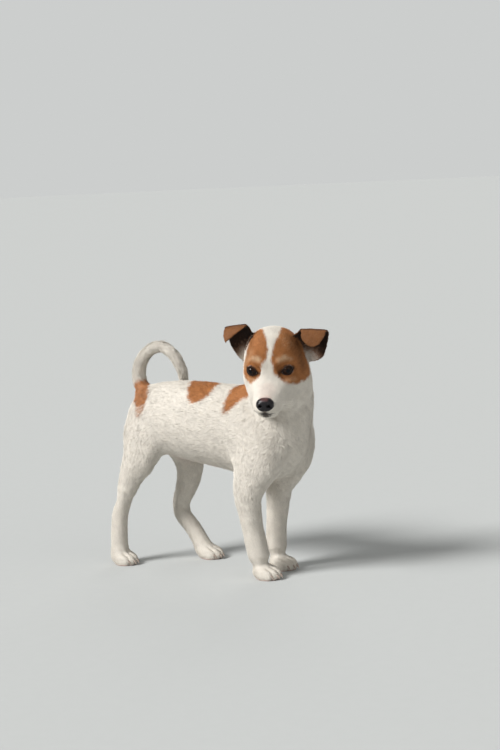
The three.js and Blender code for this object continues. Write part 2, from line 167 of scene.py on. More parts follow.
class PuppyCoatSettings(bpy.types.PropertyGroup):
    """Sizes and colours of the coat."""

    fineness: bpy.props.FloatProperty(
        name="Skin fineness", description="Edge length of the skin's faces", default=0.00175, unit="LENGTH"
    )
    fullness: bpy.props.FloatProperty(
        name="Fullness", description="Share of the tufts that grow", default=1.0, subtype="FACTOR"
    )
    white: colour_setting("White", "the white hair", (0.87, 0.81, 0.72))
    tan: colour_setting("Tan", "the patches", (0.52, 0.205, 0.068))
    cream: colour_setting("Cream", "the spots over the eyes", (0.82, 0.56, 0.34))
    # Near black: the hair inside the ears, round the eyes and on the lips; it also stands for painted shade
    # in the ears' hollows, above the eyes and on the left side of the head.
    dark: colour_setting("Dark", "the hair inside the ears", (0.026, 0.012, 0.007))
    pink: colour_setting("Pink", "the skin where the hair is thin", (0.72, 0.42, 0.36))


class PuppyFaceSettings(bpy.types.PropertyGroup):
    """Colours of the eyes, nose, lips and claws."""

    iris: colour_setting("Iris", "the iris", (0.016, 0.007, 0.004))
    leather: colour_setting("Leather", "the nose and the lips", (0.006, 0.005, 0.006))
    horn: colour_setting("Horn", "the claws", (0.46, 0.36, 0.3))


class PuppyStageSettings(bpy.types.PropertyGroup):
    """The camera and the floor."""

    camera_at: bpy.props.FloatVectorProperty(
        name="Camera", description="Place of the camera", default=(-1.85014, -1.51762, 0.53988), unit="LENGTH"
    )
    azimuth: angle_setting("Azimuth", "Angle of the camera's view round the puppy", -51.8586)
    elevation: angle_setting("Elevation", "Angle at which the camera looks down", 6.5496)
    roll: angle_setting("Roll", "Turn of the camera about its view", -3)
    lens: bpy.props.FloatProperty(name="Lens", description="Focal length in millimetres", default=86.4)
    floor: colour_setting("Floor", "the floor", (0.52, 0.53, 0.52))


# ---------------------------------------- tools
def pick(*objects):
    bpy.ops.object.select_all(action="DESELECT")
    for o in objects:
        o.select_set(True)
    bpy.context.view_layer.objects.active = objects[0]


def modify(piece, kind, **settings):
    """Adds a modifier with its settings and applies it."""
    modifier = piece.modifiers.new(kind.lower(), kind)
    for name, value in settings.items():
        setattr(modifier, name, value)
    pick(piece)
    bpy.ops.object.modifier_apply(modifier=modifier.name)


@contextmanager
def editing(piece):
    """Holds a piece in edit mode, at first with all of it selected."""
    pick(piece)
    bpy.ops.object.mode_set(mode="EDIT")
    bpy.ops.mesh.select_all(action="SELECT")
    yield
    bpy.ops.object.mode_set(mode="OBJECT")


def settle_origin(piece):
    pick(piece)
    bpy.ops.object.transform_apply(location=True, rotation=True, scale=True)


def join(*objects):
    pick(*objects)
    bpy.ops.object.join()
    return objects[0]


def unit_ball(segments=28, rings=18):
    bpy.ops.object.select_all(action="DESELECT")
    bpy.ops.mesh.primitive_uv_sphere_add(segments=segments, ring_count=rings, radius=1)
    return bpy.context.object


def ball(at, half, here=BODY, turn=(0, 0)):
    """An ellipsoid at a place in millimetres, with half sizes, turned by degrees about x and then z."""
    made = unit_ball()
    turned = rotation("Z", turn[1]) @ rotation("X", turn[0])
    made.matrix_world = here @ Matrix.Translation(at) @ turned @ Matrix.Diagonal((*half, 1))
    settle_origin(made)
    return made


def mesh_of(name, places, faces, smooth=True):
    """A mesh object from places, in metres, and faces that all have the same number of corners."""
    places = np.ascontiguousarray(places, np.float32)
    faces = np.ascontiguousarray(faces, np.int32)
    mesh = bpy.data.meshes.new(name)
    mesh.vertices.add(len(places))
    mesh.vertices.foreach_set("co", places.ravel())
    mesh.loops.add(faces.size)
    mesh.loops.foreach_set("vertex_index", faces.ravel())
    mesh.polygons.add(len(faces))
    mesh.polygons.foreach_set("loop_start", np.arange(0, faces.size, faces.shape[1], dtype=np.int32))
    mesh.update(calc_edges=True)
    mesh.polygons.foreach_set("use_smooth", np.full(len(faces), smooth))
    mesh.validate()
    made = bpy.data.objects.new(name, mesh)
    bpy.context.scene.collection.objects.link(made)
    return made


def ring_faces(rings, corners):
    """The faces between closed rings of corners, each row of places a ring."""
    index = np.arange(rings * corners).reshape(rings, corners)
    after = np.roll(index, -1, axis=1)
    return np.stack([index[:-1], index[1:], after[1:], after[:-1]], -1).reshape(-1, 4)


def read(data, what, width=3):
    values = np.empty(len(data) * width, np.float32)
    data.foreach_get(what, values)
    return values.reshape(-1, width).astype(float) if width > 1 else values.astype(float)


def write_places(piece, places):
    piece.data.vertices.foreach_set("co", np.ascontiguousarray(places, np.float32).ravel())
    piece.data.update()


def paint(piece, values):
    """Stores one number for each vertex under each name, for the materials to read."""
    for name, numbers in values.items():
        layer = piece.data.attributes.new(name, "FLOAT", "POINT")
        layer.data.foreach_set("value", np.ascontiguousarray(numbers, np.float32))


def weigh(piece, name, weights):
    """A vertex group with a weight for each vertex, in steps of one part in twenty."""
    group = piece.vertex_groups.new(name=name)
    steps = np.round(np.clip(weights, 0, 1) * 20).astype(int)
    for step in range(1, 21):
        group.add(np.flatnonzero(steps == step).tolist(), step / 20, "REPLACE")
    return group.name


def map_coat(piece, corners):
    """Writes the coat's map from a place for each corner of each face."""
    layer = piece.data.uv_layers.new(name="OFBake")
    layer.uv.foreach_set("vector", np.ascontiguousarray(corners, np.float32).ravel())


def dress(piece, name, build, *numbers):
    """Gives a piece a material, which is made the first time that it is asked for."""
    piece.data.materials.append(bpy.data.materials.get(name) or build(name, *numbers))


def keep(piece, slot, *nodes):
    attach(piece, "root")
    if nodes:
        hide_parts(*nodes)


# ---------------------------------------- materials
class Wire:
    """A shader socket that takes part in sums and products."""

    def __init__(self, finish, socket):
        self.finish = finish
        self.socket = socket

    def _math(self, operation, *values):
        return self.finish.node("ShaderNodeMath", {"operation": operation}, dict(enumerate(values)))["Value"]

    def __add__(self, other):
        return self._math("ADD", self, other)

    def __radd__(self, other):
        return self._math("ADD", other, self)

    def __sub__(self, other):
        return self._math("SUBTRACT", self, other)

    def __rsub__(self, other):
        return self._math("SUBTRACT", other, self)

    def __mul__(self, other):
        return self._math("MULTIPLY", self, other)

    def __rmul__(self, other):
        return self._math("MULTIPLY", other, self)

    def between(self, low, high):
        """0 up to low, 1 from high on, and smooth between them."""
        settings = {"interpolation_type": "SMOOTHSTEP"}
        values = {"Value": self, "From Min": low, "From Max": high}
        return self.finish.node("ShaderNodeMapRange", settings, values)["Result"]


class Finish:
    """A material made of nodes, with one Principled shader."""

    def __init__(self, name, **constants):
        self.material = bpy.data.materials.new(name)
        self.material.use_nodes = True
        self.tree = self.material.node_tree
        self.shader = self.tree.nodes["Principled BSDF"]
        for socket, value in constants.items():
            self.set(socket.replace("_", " "), value)

    def feed(self, target, value):
        """Links a wire to a socket, or sets the socket's constant."""
        if isinstance(value, Wire):
            self.tree.links.new(value.socket, target)
        elif target.type == "RGBA":
            target.default_value = (*value, 1)
        else:
            target.default_value = value

    def set(self, socket, value):
        self.feed(self.shader.inputs[socket], value)

    def node(self, kind, settings, values):
        """A node with its settings and the values or wires of its sockets, as a table of its outputs."""
        made = self.tree.nodes.new(kind)
        for name, value in settings.items():
            setattr(made, name, value)
        for name, value in values.items():
            self.feed(made.inputs[name], value)
        return {o.name: Wire(self, o) for o in made.outputs if o.enabled}

    def attribute(self, name):
        return self.node("ShaderNodeAttribute", {"attribute_name": name}, {})["Fac"]

    def here(self):
        return self.node("ShaderNodeTexCoord", {}, {})["Object"]

    def noise(self, scale, detail=2.0, roughness=0.5):
        values = {"Vector": self.here(), "Scale": scale, "Detail": detail, "Roughness": roughness}
        return self.node("ShaderNodeTexNoise", {}, values)["Fac"]

    def mix(self, share, first, second):
        """A colour between the first, where the share is 0, and the second, where it is 1."""
        mixer = self.tree.nodes.new("ShaderNodeMix")
        mixer.data_type = "RGBA"
        for index, value in ((0, share), (6, first), (7, second)):
            self.feed(mixer.inputs[index], value)
        return Wire(self, mixer.outputs[2])

    def bump(self, height, distance, strength=1.0):
        values = {"Height": height, "Distance": distance, "Strength": strength}
        self.set("Normal", self.node("ShaderNodeBump", {}, values)["Normal"])


def coat_colour(finish, settings, brightness):
    """White, tan, cream and dark hair, and pink skin, as the painted numbers say, times a brightness. The
    dark also carries painted shade, and on the hair the brightness carries painted shade at the roots and
    between clumps.
    """
    colour = finish.mix(finish.attribute("tan"), tuple(settings.white), tuple(settings.tan))
    colour = finish.mix(finish.attribute("cream"), colour, tuple(settings.cream))
    colour = finish.mix(finish.attribute("dark"), colour, tuple(settings.dark))
    colour = finish.mix(finish.attribute("pink"), colour, tuple(settings.pink))
    return finish.mix(brightness, (0, 0, 0), colour)


def skin_finish(name):
    settings = bpy.context.scene.puppy_coat
    finish = Finish(name, Roughness=0.75, Specular_IOR_Level=0.2)
    down = finish.noise(1500, 3, 0.6)
    patchy = finish.noise(240, 2)
    finish.set("Base Color", coat_colour(finish, settings, 0.84 + 0.08 * patchy + 0.06 * down))
    finish.bump(down, 0.0006, 0.8)
    return finish.material


def hair_finish(name):
    settings = bpy.context.scene.puppy_coat
    gloss = {"Roughness": 0.62, "Specular_IOR_Level": 0.16, "Sheen_Weight": 0.03, "Sheen_Roughness": 0.5}
    finish = Finish(name, **gloss)
    # Painted shade: each tuft is darker towards its root, where the hairs shade each other, times its own
    # shade number.
    brightness = (0.83 + 0.17 * finish.attribute("along")) * finish.attribute("shade")
    finish.set("Base Color", coat_colour(finish, settings, brightness))
    strands = finish.noise(4200, 2)
    finish.bump(strands, 0.0002, 0.5)
    return finish.material


def times(share, colour):
    """A colour that much brighter."""
    return tuple(share * c for c in colour)


def eye_finish(name):
    """Rings by the distance out from the gaze: pupil, iris, the iris's dark edge and the white."""
    settings = bpy.context.scene.puppy_face
    wet = {"Coat_Weight": 0.5, "Coat_Roughness": 0.02, "Coat_IOR": 1.38}
    finish = Finish(name, Roughness=0.5, Specular_IOR_Level=0.0, **wet)
    out = finish.attribute("out")
    rays = finish.noise(900, 3, 0.6)
    iris = finish.mix(rays, times(0.5, settings.iris), times(1.6, settings.iris))
    eye = finish.mix(out.between(2.3, 2.7), (0.002, 0.002, 0.003), iris)
    eye = finish.mix(out.between(5.2, 6.0), eye, (0.008, 0.006, 0.006))
    eye = finish.mix(out.between(6.6, 7.6), eye, (0.35, 0.27, 0.24))
    finish.set("Base Color", eye)
    return finish.material


def leather_finish(name, roughness):
    """Pebbled black skin, pink where it is painted so."""
    settings = bpy.context.scene.puppy_face
    finish = Finish(name, Specular_IOR_Level=0.32)
    cells = {"Vector": finish.here(), "Scale": 1150}
    edges = finish.node("ShaderNodeTexVoronoi", {"feature": "DISTANCE_TO_EDGE"}, cells)["Distance"]
    pebbles = edges.between(0.0, 0.28)
    grain = finish.noise(2600, 2)
    leather = finish.mix(grain, tuple(settings.leather), times(2.2, settings.leather))
    finish.set("Base Color", finish.mix(finish.attribute("pink"), leather, (0.5, 0.21, 0.19)))
    finish.set("Roughness", roughness - 0.1 * pebbles + 0.12 * grain)
    finish.bump(pebbles + 0.1 * grain, 0.00006, 0.5)
    return finish.material


def horn_finish(name):
    settings = bpy.context.scene.puppy_face
    finish = Finish(name, Specular_IOR_Level=0.5)
    grain = finish.noise(1800, 3)
    finish.set("Base Color", finish.mix(grain, times(0.7, settings.horn), times(1.15, settings.horn)))
    finish.set("Roughness", 0.3 + 0.15 * grain)
    finish.bump(grain, 0.0001, 0.4)
    return finish.material


def floor_finish(name):
    settings = bpy.context.scene.puppy_stage
    finish = Finish(name, Roughness=0.9, Specular_IOR_Level=0.1)
    grain = finish.noise(60, 2)
    finish.set("Base Color", finish.mix(grain, times(0.97, settings.floor), tuple(settings.floor)))
    return finish.material


# ---------------------------------------- the coat's lie
# Each line follows the lie of the hair. Its numbers are hair length and width and the coat's depth in
# millimetres, tufts on a square millimetre, how much the skin under it is smoothed, and a region of the coat.
MUZZLE = (2.8, 0.4, 0.8, 2.4, 0.1, "head")
FACE = (3.6, 0.44, 1.0, 2.1, 0.15, "head")
CHEEK = (4.6, 0.52, 1.4, 1.7, 0.25, "head")
THROAT = (5.5, 0.56, 1.7, 1.5, 0.5, "neck")
NECK = (6.5, 0.68, 1.9, 1.15, 0.8, "neck")
TRUNK = (6.5, 0.76, 1.9, 1.0, 1.0, "trunk")
RUMP = (6.5, 0.76, 1.9, 1.0, 1.0, "rump")
TAIL_HAIR = (7.5, 0.6, 1.6, 1.5, 0.35, "tail")
UPPER_LEG = (5.6, 0.7, 1.6, 1.0, 0.7, "legs")
LOWER_LEG = (3.6, 0.48, 0.9, 1.4, 0.3, "legs")
PAW = (2.4, 0.42, 0.5, 1.8, 0.05, "legs")
EAR_HAIR = (2.8, 0.42, 0.3, 2.1, 0.0, "head")

TAIL_STATIONS = (
    (0, 100, 226), (0, 118, 238), (1, 128, 254), (2, 127, 274), (6, 114, 293), (12, 95, 300),
    (18, 79, 289), (25, 71, 268), (35, 76, 249), (42, 87, 236),
)
LEG_STATIONS = {
    "fore_right": (
        (-36, -103, 156), (-37, -92, 136), (-37, -84, 112), (-36, -85, 90), (-33.5, -88, 60), (-32, -93, 32),
    ),
    "fore_left": (
        (36, -103, 156), (37, -92, 136), (36.5, -81, 112), (34, -79, 88), (29, -78, 56), (26, -79, 32),
    ),
    "hind_right": (
        (-25, 99, 184), (-33, 106, 150), (-36, 118, 130), (-40, 128, 104),
        (-42, 134, 86), (-43, 140, 70), (-44, 143, 44), (-45, 143, 24),
    ),
    "hind_left": (
        (25, 82, 178), (31, 74, 148), (34, 73, 128), (35, 81, 102),
        (36, 95, 76), (36, 93, 60), (36.5, 75, 40), (37, 62, 24),
    ),
}
PAWS = {"fore_right": (-31, -101), "fore_left": (24, -87), "hind_right": (-45, 138), "hind_left": (37, 51)}
PAW_WIDTH = {"fore": 16.0, "hind": 14.5}
TOE_FAN = 6.0  # degrees between one toe and the next
ELBOW = 100.0  # height under which the legs' hair is short


def toe_places(name):
    """Where the four toes of a paw meet it, and how far each is turned outwards, in degrees."""
    x, y = PAWS[name]
    wide = PAW_WIDTH[name[:4]]
    for at in (-1.5, -0.5, 0.5, 1.5):
        reach = 13 if abs(at) < 1 else 8
        yield x + at * wide * 0.5, y - reach, -at * TOE_FAN


def lies():
    """Every line of the coat, as (frame, numbers, points)."""
    made = [
        (HEAD, MUZZLE, ((0, -60, -20), (0, -40, -17), (0, -22, -11))),
        (HEAD, FACE, ((0, -18, -9), (0, -4, 6), (0, 8, 30), (0, 24, 47), (0, 48, 50), (0, 74, 34))),
        (HEAD, MUZZLE, ((0, -52, -44), (0, -30, -52), (0, -8, -56))),
        (BODY, THROAT, ((-54, -144, 223), (-44, -147, 215), (-32, -150, 204))),
        (BODY, NECK, ((-32, -150, 204), (-18, -150, 186), (-6, -144, 166), (0, -128, 142))),
        (BODY, NECK, ((10, -154, 250), (16, -152, 226), (18, -150, 198), (12, -146, 172))),
        (BODY, NECK, ((0, -72, 296), (4, -66, 270), (2, -50, 256))),
        (BODY, TRUNK, ((0, -46, 255), (0, 0, 256), (0, 60, 256), (0, 96, 250))),
        (BODY, TRUNK, ((0, -120, 134), (0, -80, 128), (0, 0, 140), (0, 60, 148), (0, 90, 160))),
        (BODY, RUMP, ((0, 126, 226), (0, 136, 205), (0, 130, 180), (0, 112, 160))),
        (BODY, TAIL_HAIR, TAIL_STATIONS),
    ]
    for s in SIDES:
        made += [
            (HEAD, MUZZLE, ((s * 9, -56, -34), (s * 15, -40, -30), (s * 20, -22, -26))),
            (HEAD, FACE, ((s * 12, -20, -14), (s * 20, -8, -14), (s * 34, 8, -8))),
            (HEAD, FACE, ((s * 9, -4, 6), (s * 20, 4, 22), (s * 28, 22, 36), (s * 26, 52, 40))),
            (HEAD, FACE, ((s * 30, 2, 8), (s * 37, 20, 10), (s * 38, 44, 6))),
            (HEAD, CHEEK, ((s * 22, -16, -34), (s * 29, 2, -34), (s * 36, 26, -30), (s * 38, 50, -34))),
            (HEAD, CHEEK, ((s * 36, 14, -10), (s * 41, 34, -14), (s * 40, 58, -18))),
            (BODY, NECK, ((s * 36 - 8, -126, 268), (s * 42 - 3, -112, 240), (s * 48, -98, 212))),
            (BODY, TRUNK, ((s * 44, -130, 190), (s * 50, -108, 172), (s * 46, -90, 146))),
            (BODY, TRUNK, ((s * 49, -84, 222), (s * 52, -30, 208), (s * 50, 20, 204), (s * 44, 66, 208))),
            (BODY, TRUNK, ((s * 42, -60, 154), (s * 46, -20, 158), (s * 44, 20, 162), (s * 36, 50, 166))),
            (BODY, RUMP, ((s * 40, 76, 214), (s * 42, 96, 196), (s * 40, 108, 172))),
            (BODY, RUMP, ((s * 20, 100, 246), (s * 26, 120, 226), (s * 26, 128, 200), (s * 30, 122, 170))),
        ]
    for name, stations in LEG_STATIONS.items():
        low = next(i for i, at in enumerate(stations) if at[2] < ELBOW)
        x, y = PAWS[name]
        made += [
            (BODY, UPPER_LEG, stations[: low + 1]),
            (BODY, LOWER_LEG, stations[low:]),
            (BODY, PAW, (stations[-1], (x, y + 4, 18), (x, y - 6, 15), (x, y - 18, 9), (x, y - 22, 3))),
        ]
    return made


# ---------------------------------------- the ears
EAR_ROWS = (  # inner edge, outer edge, and how far the middle bows backwards, from the root to the tip
    ((19, 38, 27), (38, 45, -4), 7),
    ((24, 35, 37), (46, 43, 6), 8),
    ((29, 32, 45), (56, 40, 23), 9),
    ((33, 30, 51), (63, 36, 46), 5),
    ((34, 26, 52), (64, 31, 49), 1),
    ((41, 22, 46), (64, 26, 41), -1),
    ((54, 20, 35), (61, 22, 33), 0),
)
EAR_ROOT = np.array((30.0, 38.0, 18.0))
# How each ear leans out, how its inner and outer edges sink, its spread, its belly and its tip's rounding.
EAR_POSES = {-1: (-6, (-2, 3), 0, 0, 0), 1: (10, (5, 0), 7, 8.5, 12)}
EAR_THICK = 2.6
EAR_ALONG, EAR_ACROSS = 44, 26


def ear_leaf(s):
    """The ear's middle surface on the head, in rows from root to tip and columns from inner to outer edge."""
    lean, sink, spread, belly, rounded = EAR_POSES[s]
    inner, outer = (curve_through([row[k] for row in EAR_ROWS], EAR_ALONG) for k in (0, 1))
    bows = curve_through([(row[2],) for row in EAR_ROWS], EAR_ALONG)
    u = np.linspace(0, 1, EAR_ALONG)[:, None]
    v = np.linspace(0, 1, EAR_ACROSS)[None, :]
    leaf = inner[:, None, :] * (1 - v[..., None]) + outer[:, None, :] * v[..., None]
    leaf[..., 1] += bows * (1 - (2 * v - 1) ** 2)
    leaf[..., 2] -= (sink[0] * (1 - v) + sink[1] * v) * smoothstep(u, 0, 0.5)
    leaf[..., 0] += spread * smoothstep(u, 0, 0.2) * smoothstep(1 - u, 0, 0.6) * v
    low = belly * smoothstep(u, 0.04, 0.28) * smoothstep(0.6 - u, 0, 0.4) * v
    tip = rounded * smoothstep(u, 0.7, 1)
    leaf[..., 0] += 0.85 * low - tip * (1 - v)
    leaf[..., 2] += tip * (0.3 * (1 - v) - 0.3 * np.sin(math.pi * v)) - 0.55 * low
    turn = np.array(Matrix.Rotation(math.radians(lean), 3, "Y"))
    leaf = (leaf - EAR_ROOT) @ turn.T + EAR_ROOT
    leaf[..., 0] *= s
    return leaf


def ear_grid(s):
    """The leaf with its directions to the tip and out of its back, away from the ear's opening."""
    leaf = ear_leaf(s)
    along = np.gradient(leaf, axis=0)
    across = np.gradient(leaf, axis=1)
    back = np.cross(along, across) * s
    return leaf, unit(along), unit(back)


def ear_flesh(s):
    """The ear as a closed leaf, as thick as its flesh."""
    leaf, _, back = ear_grid(s)
    sheets = [leaf + back * EAR_THICK / 2, leaf - back * EAR_THICK / 2]
    places = np.concatenate([sheet.reshape(-1, 3) for sheet in sheets])
    index = np.arange(EAR_ALONG * EAR_ACROSS).reshape(EAR_ALONG, EAR_ACROSS)
    quad = np.stack([index[:-1, :-1], index[:-1, 1:], index[1:, 1:], index[1:, :-1]], -1)
    quad = quad.reshape(-1, 4)
    rim = np.concatenate([index[0, :-1], index[:-1, -1], index[-1, :0:-1], index[:0:-1, 0]])
    after = np.roll(rim, -1)
    far = EAR_ALONG * EAR_ACROSS
    walls = np.stack([rim, rim + far, after + far, after], -1)
    made = mesh_of("ear flesh", moved(places, HEAD), np.concatenate([quad, quad[:, ::-1] + far, walls]))
    with editing(made):
        bpy.ops.mesh.normals_make_consistent(inside=False)
    return made


def nearest(points, targets, block=4000):
    """The index of the nearest target to each point, and its distance."""
    index = np.empty(len(points), int)
    gap = np.empty(len(points))
    for start in range(0, len(points), block):
        some = points[start : start + block]
        d = ((some[:, None, :] - targets[None, :, :]) ** 2).sum(-1)
        index[start : start + block] = d.argmin(1)
        gap[start : start + block] = np.sqrt(d.min(1))
    return index, gap


def ear_places(points):
    """For places in the scene: how much of an ear each is, how far along and across it, on which of its faces
    (below 0 inside), and the way to its tip."""
    head = within(points, HEAD)
    n = len(points)
    found = {name: np.zeros(n) for name in ("ear", "u", "v")}
    found.update(face=np.ones(n), along=np.zeros((n, 3)))
    x, y, z = head.T
    for s in SIDES:
        near = np.flatnonzero((x * s > 12) & (z > -16) & (y > 8) & (y < 70))
        leaf, along, back = (sheet.reshape(-1, 3) for sheet in ear_grid(s))
        index, gap = nearest(head[near], leaf)
        u, v = np.divmod(index, EAR_ACROSS)
        found["ear"][near] = 1 - smoothstep(gap, 2.6, 4.2)
        found["u"][near] = u / (EAR_ALONG - 1)
        found["v"][near] = v / (EAR_ACROSS - 1)
        found["face"][near] = np.sign(((head[near] - leaf[index]) * back[index]).sum(1))
        found["along"][near] = along[index]
    return found


# ---------------------------------------- lie of the coat at a place
def lie_samples():
    """Places along the lines of the coat, with the lie, the numbers and the region at each."""
    spots, ways, numbers, regions = [], [], [], []
    for here, values, points in lies():
        length = np.linalg.norm(np.diff(np.array(points, float), axis=0), axis=1).sum()
        line = curve_through(points, max(3, int(length / 5)))
        way = np.gradient(line, axis=0)
        spots.append(on_scene(line, here))
        ways.append(towards(way, here))
        numbers += [values[:5]] * len(line)
        regions += [values[5]] * len(line)
    return np.concatenate(spots), np.concatenate(ways), np.array(numbers), np.array(regions)


REGIONS = ("head", "neck", "trunk", "rump", "tail", "legs")


def coat_at(points, normals):
    """The coat's numbers, region and lie at each place of the skin."""
    spots, ways, numbers, regions = lie_samples()
    n = len(points)
    values = np.empty((n, 5))
    way = np.empty((n, 3))
    region = np.empty((n, len(REGIONS)))
    member = np.stack([regions == name for name in REGIONS], -1).astype(float)
    for start in range(0, n, 4000):
        some = slice(start, start + 4000)
        d = ((points[some, None, :] - spots[None]) ** 2).sum(-1) / MM**2
        w = 1 / (d + 30) ** 2.5
        w /= w.sum(1, keepdims=True)
        values[some] = w @ numbers
        way[some] = w @ ways
        region[some] = w @ member
    ears = ear_places(points)
    share = ears["ear"][:, None]
    values = values * (1 - share) + np.array(EAR_HAIR[:5]) * share
    way = way * (1 - share) + towards(ears["along"], HEAD) * share
    region[:, 0] = np.maximum(region[:, 0], ears["ear"])
    way = unit(way - normals * (way * normals).sum(1, keepdims=True))
    names = ("hair", "wide", "depth", "density", "settle")
    found = {name: values[:, k] for k, name in enumerate(names)}
    found.update(way=way, region=region.argmax(1), ears=ears)
    return found


# ---------------------------------------- markings
def ripple(points, scale, seed=0):
    """Smooth noise between -1 and 1, with the given wavelength in millimetres."""
    rng = np.random.default_rng(seed)
    total = np.zeros(len(points))
    for _ in range(9):
        way = rng.normal(size=3)
        way *= 2 * math.pi / scale / np.linalg.norm(way) * rng.uniform(0.7, 1.5)
        total += np.sin(points @ way + rng.uniform(0, 2 * math.pi))
    return total / 4.2


def patch(points, start, end, radii, soft=3.0, rough=2.0, seed=1):
    """A patch along a line, with a radius at each end: 1 inside, 0 outside, with a soft uneven edge."""
    a, b = np.array(start, float), np.array(end, float)
    t = np.clip(((points - a) @ (b - a)) / max(((b - a) ** 2).sum(), 1e-9), 0, 1)
    radius = radii[0] + (radii[1] - radii[0]) * t
    d = np.linalg.norm(points - a - t[:, None] * (b - a), axis=1) - radius
    return 1 - smoothstep(d + rough * ripple(points, 13, seed), -soft, soft)


# The white blaze: how far up the face (y + z), and where its right and left edges are (x).
BLAZE = (
    *((-24, -20, 19), (-15, -14, 9), (-4, -10, 6), (8, -6, 4.5)),
    *((18, -1.5, 3), (34, -1, 6), (56, -4.5, 11.5), (86, -13, 13)),
)
# The back edge of the right side's tan: height (z), and how far back (y).
RIGHT_EDGE = ((-18, -3), (-11, 6), (-5, 13), (4, 16), (14, 18), (24, 20), (34, 27), (40, 33), (52, 42))
# The tan's lower edge under the eyes, on the right and on the left: how far out (x), and height (z).
LOW_EDGES = {
    -1: ((12, -7), (18, -11), (24, -15), (31, -16), (38, -6)),
    1: ((10, -6), (17, -12), (24, -17), (31, -20), (46, -19)),
}
PATCHES = (  # start, end, radii, strength
    ((4, 8, 257), (-24, -5, 243), (21, 18), 1.0),  # on the back
    ((-8, -8, 252), (-24, -12, 242), (15, 13), 1.0),
    ((-12, -71, 254), (-38, -67, 227), (17, 10.5), 1.0),  # behind the right shoulder
    ((-14, -74, 252), (-30, -80, 244), (15, 11), 1.0),
    ((-4, 114, 237), (-25, 99, 233), (15, 12.5), 0.95),  # at the root of the tail
    ((-26, 98, 233), (-38, 96, 218), (12, 7.5), 0.55),  # under it
    ((24, -2, 250), (46, 6, 222), (17, 12), 1.0),  # the back's patch goes on over the left side
    ((34, -70, 246), (45, -62, 214), (9, 15), 1.0),  # on the left shoulder
)


EYE_CORNERS = {-1: 31.5, 1: 33.5}  # how far out the dark hair at the eye's outer corner reaches
# Marks on the head: what they paint, if they are on both sides, strength, start, end, radii, softness,
# roughness and the seed of the rough edge.
HEAD_MARKS = (
    ("cream", True, 0.9, (12, -1, 14), (20, 3.5, 15.5), (2.6, 3), 3.0, 1.0, 6),  # over the eye
    ("cream", True, 0.6, (20, 3.5, 15.5), (28, 9.5, 12), (2.6, 1.4), 3.0, 1.0, 7),
    ("cream", True, 0.3, (20, -3, -12), (30, 4, -12), (3, 3), 3.0, 1.0, 9),  # under the eye
    ("cream", False, 0.3, (-24, 6, 26), (-33, 14, 2), (5, 5), 5.0, 1.5, 8),  # the right side's outer edge
    ("dark", True, 0.5, (12.5, -5, -3), (14, -6.5, -9), (1.6, 1.2), 2.4, 0.5, 28),  # the tear's track
    ("dark", False, 0.9, (0, -61, -33), (0, -58, -38), (3.6, 4.6), 1.6, 0.5, 26),  # under the nose
    ("dark", False, 0.75, (-8, -56, -39), (8, -56, -39.5), (1.4, 1.4), 1.4, 0.4, 27),  # on the lips
    ("pink", False, 0.42, (-4, -53, -17), (4, -53, -17), (5, 5), 3.0, 0.5, 21),  # above the nose
    ("pink", False, 0.16, (0, -42, -16), (0, -30, -12), (9, 9), 5.0, 1.0, 22),
)


def edge(value, stations, column=1):
    table = np.array(stations, float)
    return np.interp(value, table[:, 0], table[:, column])


def face_mask(head):
    """1 where the head is tan, apart from the ears: outside the blaze and above the lower edges."""
    x, y, z = head.T
    uneven = 1.0 * ripple(head, 9, 3) + 0.5 * ripple(head, 4, 4)
    up = y + z
    mask = smoothstep(edge(up, BLAZE, 1) - x + uneven, -1.2, 1.4)
    mask += smoothstep(x - edge(up, BLAZE, 2) + uneven, -1.2, 1.4)
    low = np.where(x < 0, edge(-x, LOW_EDGES[-1]), edge(x, LOW_EDGES[1]))
    mask *= smoothstep(z - low + uneven, -2.2, 2.2)
    right = 1 - smoothstep(y - edge(z, RIGHT_EDGE) + 1.5 * uneven, -2.5, 2.5)
    left = 1 - smoothstep(y - 46 + 0.4 * np.clip(-z, 0, None) + 2 * uneven, -4, 4)
    return np.clip(mask * np.where(x < 0, right, left), 0, 1)


def mark_ears(marks, head, ears):
    """Ears: tan on the back and on the hanging tip, dark inside, where dark hair is painted near black also
    as the shade in the ear's hollow, with pale hair low on the outer edge.
    """
    ear, u, v = ears["ear"], ears["u"], ears["v"]
    inside = (ears["face"] < 0) * ear
    pale = inside * smoothstep(0.22 - u, -0.08, 0.1) * smoothstep(v, 0.35, 0.8)
    streaks = smoothstep(ripple(head, 3.5, 25), 0.1, 0.6)
    streaked = inside * smoothstep(0.34 - u, -0.05, 0.15) * smoothstep(v, 0.2, 0.5)
    pale = np.maximum(pale, 0.4 * streaks * streaked)
    marks["tan"] = (marks["tan"] * (1 - ear) + 0.97 * ear) * (1 - 0.9 * pale)
    outside = ear * (1 - inside) * (0.26 + 0.14 * smoothstep(np.abs(v - 0.5), 0.36, 0.5))
    # inside: dark hair, painted near black as the shade in the ear's hollow too
    marks["dark"] = np.maximum(inside * (1 - 0.9 * pale), outside)


def eye_rim(points, s):
    """The dark skin and hair round an eye, wider at the corners, and wider above the eye with a painted
    shadow under the fold of the upper lid.
    """
    tilt, around, r = eye_polar(points, s)
    beyond = tilt - opening(around)
    corner = np.abs(np.cos(around)) ** 4
    above = np.clip(np.sin(around), 0, 1)
    # the extra width above the eye is painted shadow under the lid's fold
    return (1 - smoothstep(beyond, 4 + 6 * corner + 3 * above, 13 + 14 * corner + 4 * above)) * (r < 15)


